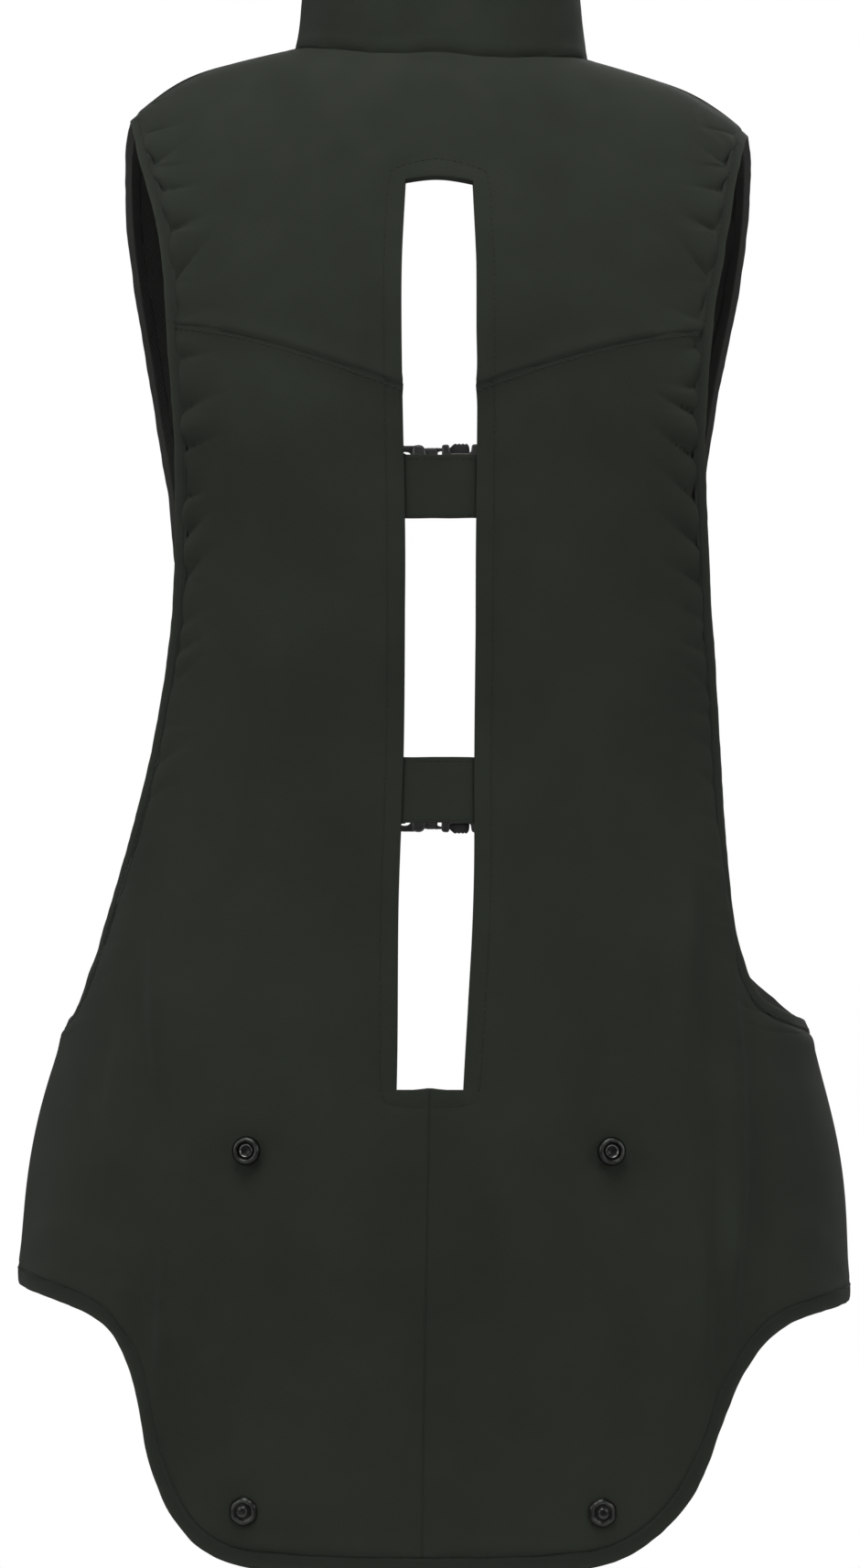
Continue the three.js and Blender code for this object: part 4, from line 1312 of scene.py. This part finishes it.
@dataclass
class BridgeStrap:
    """A flat strap of shell cloth sewn across the spine slot."""

    node: str
    ripple: Ripple = Ripple(0.4 * MM, 15 * MM, 11.0)
    piece: bpy.types.Object = field(init=False)
    rims: list[ClothEdge] = field(init=False)

    def build(self) -> None:
        """Smooths the strap and draws its ends into the panels' edges."""
        self.piece, self.rims = smooth_copy(self.node, f"{self.node}_cloth", hardness=0.85, levels=4)
        points, normals = surface_of(self.piece)
        put_points(self.piece.data, points + normals * self.ripple.lift(points)[:, None])
        close_seams(self.piece, PANELS, reach=1.2 * MM, lap=0.4 * MM)
        lay_weave(self.piece)
        mark_painted_light(self.piece, np.zeros(len(points)))
        dress(self.piece, SHELL)
        stand_for(self.piece, "shell", self.node)
        low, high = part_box(self.node)


@dataclass
class FrontLining:
    """The mesh lining inside a front panel."""

    side: Side
    slack: float = 0.6 * MM
    ripple: Ripple = Ripple(1.2 * MM, 45 * MM, 4.0)
    shaping: float = 1.2

    def build(self) -> None:
        """Smooths the lining and lets it hang a little loose."""
        node = f"front_lining_{self.side.value}"
        piece, _ = smooth_copy(node, f"{node}_mesh", hardness=1.0, levels=3)
        points, normals = surface_of(piece)
        inner = outwardness(points, normals) < -0.3
        lift = self.ripple.lift(points) + self.slack
        put_points(piece.data, points + normals * (lift * inner)[:, None])
        lay_weave(piece)
        dress(piece, LINING)
        stand_for(piece, "lining", node)


# Hard pieces and webbing.

Outline = Sequence[tuple[float, float]]


@dataclass(frozen=True)
class Plate:
    """A moulded plate: its outline and holes in plan, in millimetres, and its two faces."""

    outline: Outline
    low: float
    high: float
    corner: float = 1.0
    edge: float = 0.6
    holes: tuple[Outline, ...] = ()

    def mesh(self) -> bpy.types.Mesh:
        """The plate lying in plan, with its edges rounded."""
        curve = bpy.data.curves.new("plate", "CURVE")
        curve.dimensions = "2D"
        curve.fill_mode = "BOTH"
        curve.bevel_depth = self.edge * MM
        curve.bevel_resolution = 2
        curve.offset = -self.edge * MM
        curve.extrude = ((self.high - self.low) / 2 - self.edge) * MM
        for line in (self.outline, *self.holes):
            corners = rounded(line, self.corner)
            spline = curve.splines.new("POLY")
            spline.points.add(len(corners) - 1)
            spline.use_cyclic_u = True
            for spot, (x, z) in zip(spline.points, corners):
                spot.co = (x * MM, z * MM, 0, 1)
        shaper = add_object("plate", curve)
        graph = bpy.context.evaluated_depsgraph_get()
        mesh = bpy.data.meshes.new_from_object(shaper.evaluated_get(graph), depsgraph=graph)
        mesh.transform(Matrix.Translation((0, 0, (self.low + self.high) / 2 * MM)))
        bpy.data.objects.remove(shaper)
        bpy.data.curves.remove(curve)
        return mesh


def rounded(line: Outline, radius: float, steps: int = 4) -> list[tuple[float, float]]:
    """A closed outline with its corners rounded.

    Args:
        line: The outline's corners.
        radius: How far from each corner the rounding starts.
        steps: Number of points on each corner.

    Returns:
        The new outline.
    """
    spots = [Vector(spot) for spot in line]
    made = []
    for before, spot, after in zip(spots[-1:] + spots[:-1], spots, spots[1:] + spots[:1]):
        back, on = before - spot, after - spot
        start = spot + back.normalized() * min(radius, back.length * 0.45)
        end = spot + on.normalized() * min(radius, on.length * 0.45)
        for k in range(steps + 1):
            t = k / steps
            made.append(tuple(start * (1 - t) ** 2 + spot * (2 * t * (1 - t)) + end * t ** 2))
    return made


def block(x0: float, x1: float, z0: float, z1: float) -> Outline:
    """A rectangle's corners."""
    return [(x0, z0), (x1, z0), (x1, z1), (x0, z1)]


def flipped(line: Outline) -> Outline:
    """An outline mirrored top to bottom."""
    return [(x, -z) for x, z in reversed(line)]


PRONG = [
    (-6, 11.6), (-4.4, 13.4), (-2, 14.1), (0.4, 13.4), (2.4, 11), (5, 9.6), (9, 9.2), (12.6, 10.2),
    (13, 13.5), (12.6, 16.5), (11.5, 17.8), (10.8, 17.8), (10.3, 17.2), (9.8, 17.8), (8.8, 17.8),
    (8.3, 17.2), (7.8, 17.8), (6.8, 17.8), (6.3, 17.2), (5.8, 17.8), (4.8, 17.8), (3.2, 16.4),
    (1.4, 14.7), (0, 14.8), (-2, 15.4), (-6, 15.6),
]
SOCKET_SHELL = [
    (0.8, -5), (-2, -9), (-2, -16.9), (1.9, -17.2), (2.5, -12.4), (13.6, -12.4), (14.2, -17.2),
    (18.6, -17.2), (18.6, 17.2), (14.2, 17.2), (13.6, 12.4), (2.5, 12.4), (1.9, 17.2), (-2, 16.9),
    (-2, 9), (0.8, 5),
]
SOCKET_FRAME = [(14.6, -16.8), (25, -16.6), (29, -14.6), (29, 14.6), (25, 16.6), (14.6, 16.8)]
PLUG_FRAME = [(-29, -14.6), (-25, -16.8), (-14, -16.8), (-14, 16.8), (-25, 16.8), (-29, 14.6)]
PLUG_SHOULDER = [
    (-18.2, -15.6), (-16, -17), (-12.6, -17), (-10.2, -14), (-10.2, 14), (-12.6, 17), (-16, 17),
    (-18.2, 15.6),
]
PLUG_PLATES = (
    Plate(PLUG_FRAME, -2, 2, 3, 0.9, (block(-25.5, -18.5, -13.5, 13.5),)),
    Plate(PLUG_SHOULDER, -4.7, 4.7, 2, 1.6),
    Plate(block(-12, -4.2, -15.5, 15.5), -3.2, 3.2, 2.5, 1.2),
    Plate(block(-12, 10, -2, 2), -2.4, 2.4),
    Plate(PRONG, -2.4, 2.4, 0.8, 0.7),
    Plate(flipped(PRONG), -2.4, 2.4, 0.8, 0.7),
)
SOCKET_PLATES = (
    Plate(SOCKET_SHELL, 2.9, 5.2, 1.5, 0.9),
    Plate(SOCKET_SHELL, -5.2, -2.9, 1.5, 0.9),
    Plate(block(3.5, 12.5, -7, 7), 4.8, 5.6, 3.5, 0.35),
    Plate(block(-1.7, 1.8, 13.4, 16.6), -4.6, 4.6, 0.8),
    Plate(block(-1.7, 1.8, -16.6, -13.4), -4.6, 4.6, 0.8),
    Plate(block(14.2, 18.2, -16.8, 16.8), -4.8, 4.8, 1, 0.8),
    Plate(SOCKET_FRAME, -2, 2, 3, 0.9, (block(18.5, 25.5, -13.5, 13.5),)),
)


@dataclass
class ChestClosure:
    """A fastened side-release buckle with its two webbing straps."""

    level: str
    webbing_edge: float = 0.35 * MM

    def build(self) -> None:
        """Makes the buckle's halves and the straps."""
        place = self.seat()
        for half, plates in (("plug", PLUG_PLATES), ("socket", SOCKET_PLATES)):
            self.mould(f"buckle_{half}_{self.level}", plates, place)
        for side in Side:
            self.strap(side)

    def seat(self) -> Matrix:
        """Where the buckle's plan lies: its middle, and its tilt along the chest."""
        boxes = [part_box(f"buckle_{half}_{self.level}") for half in ("plug", "socket")]
        low = Vector(min(box[0][k] for box in boxes) for k in range(3))
        high = Vector(max(box[1][k] for box in boxes) for k in range(3))
        faces = frame["nodes"][f"buckle_socket_{self.level}"].data.polygons
        front = sum((face.normal * face.area for face in faces if face.normal.y > 0.9), Vector())
        tilt = math.atan2(front.z, front.y)
        return Matrix.Translation((low + high) / 2) @ Matrix.Rotation(tilt + math.pi / 2, 4, "X")

    def mould(self, node: str, plates: Sequence[Plate], place: Matrix) -> None:
        """Makes one half of the buckle.

        Args:
            node: The node that it stands for.
            plates: Its plates.
            place: Where its plan lies.
        """
        moulding = bpy.data.meshes.new(f"{node}_moulding")
        with editing(moulding) as form:
            for plate in plates:
                mesh = plate.mesh()
                form.from_mesh(mesh)
                bpy.data.meshes.remove(mesh)
            bmesh.ops.remove_doubles(form, verts=form.verts, dist=0.005 * MM)
            form.transform(place)
            bmesh.ops.recalc_face_normals(form, faces=form.faces)
        piece = add_object(moulding.name, moulding)
        dress(piece, PLASTIC)
        moulding.set_sharp_from_angle(angle=SHARP_EDGE)
        stand_for(piece, "plastic", node)

    def strap(self, side: Side) -> None:
        """Makes the webbing on one side."""
        node = f"chest_strap_{self.level}_{side.value}"
        piece = quad_copy(node, f"{node}_webbing")
        with editing(piece.data) as form:
            bmesh.ops.dissolve_limit(form, angle_limit=math.radians(2), verts=form.verts, edges=form.edges)
        rounding = piece.modifiers.new("rounding", "BEVEL")
        rounding.width = self.webbing_edge
        rounding.segments = 2
        rounding.limit_method = "ANGLE"
        rounding.angle_limit = math.radians(30)
        settle(piece)
        lay_weave(piece)
        dress(piece, WEBBING)
        piece.data.set_sharp_from_angle(angle=SHARP_EDGE)
        stand_for(piece, "webbing", node)


class SnapKind(Enum):
    """The two halves of a snap."""

    SOCKET = "socket"
    STUD = "stud"


@dataclass(frozen=True)
class Turning:
    """A corner of a turned profile: its radius, height, and its polish and painted highlight."""

    radius: float
    height: float
    polish_and_highlight: float = 0.0


# The last number of a corner lightens the metal there: partly worn lacquer, partly painted highlight,
# brightest on the socket's inner ring.
SOCKET_TURNING = (
    Turning(0, 1.25), Turning(2.0, 1.25), Turning(2.3, 1.5), Turning(2.6, 2.1, 0.5),
    Turning(3.0, 2.35, 1.0), Turning(3.35, 2.1, 0.6), Turning(3.6, 1.3), Turning(4.1, 1.25),
    Turning(4.4, 2.5), Turning(4.75, 3.05, 0.2), Turning(5.4, 3.15, 0.35), Turning(6.1, 2.9, 0.2),
    Turning(6.7, 2.0), Turning(7.15, 1.35), Turning(7.25, 0.7), Turning(7.0, 0),
)
STUD_TURNING = (
    Turning(0, 3.1, 0.15), Turning(1.5, 3.15, 0.2), Turning(2.4, 2.95, 0.4), Turning(2.75, 2.4, 0.2),
    Turning(2.5, 1.9), Turning(2.7, 1.5), Turning(3.4, 1.35), Turning(4.3, 1.5), Turning(4.8, 2.0, 0.3),
    Turning(5.4, 2.15, 0.4), Turning(6.0, 1.95, 0.25), Turning(6.7, 1.3), Turning(7.15, 0.9, 0.1),
    Turning(7.2, 0.4), Turning(7.0, 0),
)


@dataclass
class Snap:
    """One half of a snap on the tail, turned round its axis."""

    kind: SnapKind
    side: Side
    steps: int = 72
    lobes: int = 6
    lobe_depth: float = 0.35
    lobes_from: float = 4.0

    def build(self) -> None:
        """Turns the snap's profile and seats it on the cloth."""
        node = f"snap_{self.kind.value}_{self.side.value}"
        mounts = {mount["name"]: mount for mount in frame["record"]["mounts"]}
        axis = Vector(mounts[f"{node}_face"]["axis"]).normalized()
        low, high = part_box(node)
        profile = SOCKET_TURNING if self.kind is SnapKind.SOCKET else STUD_TURNING
        seat = (low + high) / 2 - axis * (max(spot.height for spot in profile) / 2 * MM)
        place = Matrix.Translation(seat) @ axis.to_track_quat("Z", "X").to_matrix().to_4x4()
        mesh = bpy.data.meshes.new(f"{node}_turned")
        with editing(mesh) as form:
            layer = form.verts.layers.float.new(PAINTED_LIGHT_AND_WEAR)
            rings = [self.ring(form, layer, spot) for spot in profile]
            for inner, outer in zip(rings, rings[1:]):
                for k in range(self.steps):
                    after = (k + 1) % self.steps
                    corners = [inner[k % len(inner)], outer[k], outer[after], inner[after % len(inner)]]
                    form.faces.new(dict.fromkeys(corners))
            form.faces.new(rings[-1][::-1])
            bmesh.ops.recalc_face_normals(form, faces=form.faces)
            form.transform(place)
        piece = add_object(mesh.name, mesh)
        dress(piece, METAL)
        mesh.set_sharp_from_angle(angle=SHARP_RING)
        stand_for(piece, "metal", node)

    def ring(self, form: bmesh.types.BMesh, layer: bmesh.types.BMLayerItem, spot: Turning) -> list:
        """A ring of the profile.

        Args:
            form: The mesh being made.
            layer: Its layer for the polish and painted highlight.
            spot: The profile's corner.

        Returns:
            The ring's vertices, one at the axis.
        """
        count = self.steps if spot.radius > 0 else 1
        made = []
        for k in range(count):
            angle = TAU * k / count
            radius = spot.radius
            if self.kind is SnapKind.STUD and radius > self.lobes_from:
                radius -= self.lobe_depth * (1 - abs(math.cos(self.lobes * angle / 2)))
            reach = radius * MM
            vertex = form.verts.new((reach * math.cos(angle), reach * math.sin(angle), spot.height * MM))
            vertex[layer] = spot.polish_and_highlight
            made.append(vertex)
        return made


# Viewpoint and studio.


@dataclass(frozen=True)
class Viewpoint:
    """The camera, level with the middle of the back and a little to its right."""

    place: tuple[float, float, float] = (0.05363, -2.61446, -0.3742)
    turn: float = math.radians(1.3)
    lens: float = 116.756
    sensor: float = 36.0

    def build(self) -> None:
        """Makes the camera."""
        data = bpy.data.cameras.new("back_view")
        data.lens = self.lens
        data.sensor_width = self.sensor
        data.clip_start, data.clip_end = 0.1, 100
        camera = add_object("back_view", data)
        camera.location = self.place
        camera.rotation_euler = (math.pi / 2, 0, self.turn)
        bpy.context.scene.camera = camera


@dataclass(frozen=True)
class SoftBox:
    """A square lamp that faces the vest."""

    name: str
    place: tuple[float, float, float]
    size: float
    power: float
    target: tuple[float, float, float] = (0, 0, -0.36)

    def build(self) -> None:
        """Makes the lamp."""
        data = bpy.data.lights.new(self.name, "AREA")
        data.shape = "SQUARE"
        data.size = self.size
        data.energy = self.power
        lamp = add_object(self.name, data)
        lamp.location = self.place
        lamp.rotation_euler = (Vector(self.target) - Vector(self.place)).to_track_quat("-Z", "Y").to_euler()


@dataclass(frozen=True)
class Studio:
    """Pale floor, white surroundings and soft lamps."""

    floor_drop: float = 1.35
    floor_radius: float = 3.2
    surround: float = 0.2
    lamps: tuple[SoftBox, ...] = (
        SoftBox("top_softbox", (-0.2, -1.0, 1.7), 1.5, 45),
        SoftBox("left_softbox", (-2.4, -1.7, 0.5), 1.5, 22),
        SoftBox("right_softbox", (2.4, -1.5, 0.4), 1.4, 20.5),
        SoftBox("front_softbox", (0.6, 3.0, 1.0), 2.0, 50),
    )

    def build(self) -> None:
        """Makes the floor, the surroundings and the lamps."""
        bpy.context.scene.view_settings.view_transform = "Standard"
        mesh = bpy.data.meshes.new("studio_floor")
        with editing(mesh) as form:
            bmesh.ops.create_circle(form, cap_ends=True, radius=self.floor_radius, segments=96)
            form.transform(Matrix.Translation((0, 0, -self.floor_drop)))
        floor = add_object("studio_floor", mesh)
        tree = FinishTree("pale_floor")
        grain = tree.noise(tree.place(), 0.4, 3)
        mesh.materials.append(tree.surface({
            "Base Color": tree.tinted((0.8, 0.8, 0.8), 1 + grain * 0.04),
            "Roughness": 0.8 + grain * 0.05,
        }))
        self.surroundings()
        for lamp in self.lamps:
            lamp.build()

    def surroundings(self) -> None:
        """White all round to look at, and dimmer as a light."""
        world = bpy.data.worlds.new("white_surround")
        world.use_nodes = True
        nodes, links = world.node_tree.nodes, world.node_tree.links
        nodes.clear()
        seen, cast = nodes.new("ShaderNodeBackground"), nodes.new("ShaderNodeBackground")
        seen.inputs["Color"].default_value = cast.inputs["Color"].default_value = (1, 1, 1, 1)
        cast.inputs["Strength"].default_value = self.surround
        path, mix = nodes.new("ShaderNodeLightPath"), nodes.new("ShaderNodeMixShader")
        out = nodes.new("ShaderNodeOutputWorld")
        links.new(path.outputs["Is Camera Ray"], mix.inputs[0])
        links.new(cast.outputs[0], mix.inputs[1])
        links.new(seen.outputs[0], mix.inputs[2])
        links.new(mix.outputs[0], out.inputs["Surface"])
        bpy.context.scene.world = world


# The vest.

RIGHT_FOLDS = (
    Fold((0.127, -0.36), (0.129, -0.74), 5.0 * MM, 10 * MM, 0.4),
    Fold((0.145, -0.36), (0.148, -0.7), 6.6 * MM, 11 * MM, 0.32),
)
LEFT_FOLDS = (
    Fold((-0.138, -0.4), (-0.133, -0.73), 5.6 * MM, 13 * MM, 0.45),
    Fold((-0.16, -0.46), (-0.158, -0.68), 2.6 * MM, 9 * MM, 0.6),
)
SHOULDER_FOLDS = (
    Fold((0.13, -0.022), (0.149, -0.068), -0.9 * MM, 2.6 * MM),
)


@dataclass
class Shell:
    """The vest's cloth: panels, collar, straps across the slot, tapes and linings."""

    panels: dict[str, PaddedPanel] = field(init=False)
    collar: Collar = field(default_factory=Collar)
    bridges: list[BridgeStrap] = field(init=False)
    tapes: list[EdgeTape] = field(init=False)

    def __post_init__(self) -> None:
        """Lists the pieces."""
        panels = [
            PaddedPanel("back_yoke", Gathers(4), SHOULDER_FOLDS),
            PaddedPanel("back_panel_left", Gathers(11), LEFT_FOLDS),
            PaddedPanel("back_panel_right", Gathers(23), RIGHT_FOLDS),
            PaddedPanel("front_panel_left", Gathers(31)),
            PaddedPanel("front_panel_right", Gathers(47)),
        ]
        self.panels = {panel.node: panel for panel in panels}
        self.bridges = [BridgeStrap(f"bridge_strap_{level}") for level in ("upper", "lower")]
        self.tapes = [EdgeTape(node, seed) for seed, node in enumerate(ARMHOLES, 2)]
        self.tapes.append(EdgeTape(HEM, 4, rise=1.0 * MM))

    def build(self) -> None:
        """Makes every cloth piece."""
        for panel in self.panels.values():
            panel.cut()
        swell(self.panels.values())
        for panel in self.panels.values():
            panel.finish()
        self.collar.build()
        for piece in (*self.bridges, *self.tapes):
            piece.build()
        for side in Side:
            FrontLining(side).build()

    def sew(self) -> None:
        """Adds the rows of stitches."""
        facing = Stitching("slot_facing_stitches", pitch=3.2 * MM, length=2.1 * MM, width=0.4 * MM)
        seam = Stitching("seam_topstitches")
        for name, panel in self.panels.items():
            facing.sew(panel.facing, FACING_WIDTH, panel.piece, rounding=10 * MM)
            if name != "back_yoke":
                seam.sew(near(panel.rims, ["back_yoke"]), 2.2 * MM, panel.piece)
        seam.sew(apart(self.collar.rims, PANELS), 5 * MM, self.collar.piece)
        for strap in self.bridges:
            facing.sew(apart(strap.rims, PANELS), 1.8 * MM, strap.piece)
        facing.build()
        seam.build()
        tape = Stitching("tape_stitches", pitch=3.6 * MM, length=2.6 * MM, width=0.45 * MM)
        for edge in self.tapes:
            tape.sew(near(edge.rims, PANELS), 0.9 * MM, edge.piece)
        tape.build()


def main() -> None:
    """Builds the view, the studio and the vest in order."""
    logging.basicConfig(level=logging.INFO, format="%(name)s: %(message)s")
    Viewpoint().build()
    Studio().build()
    shell = Shell()
    shell.build()
    shell.sew()
    for level in ("upper", "lower"):
        ChestClosure(level).build()
    for kind in SnapKind:
        for side in Side:
            Snap(kind, side).build()


if __name__ == "__main__":
    main()
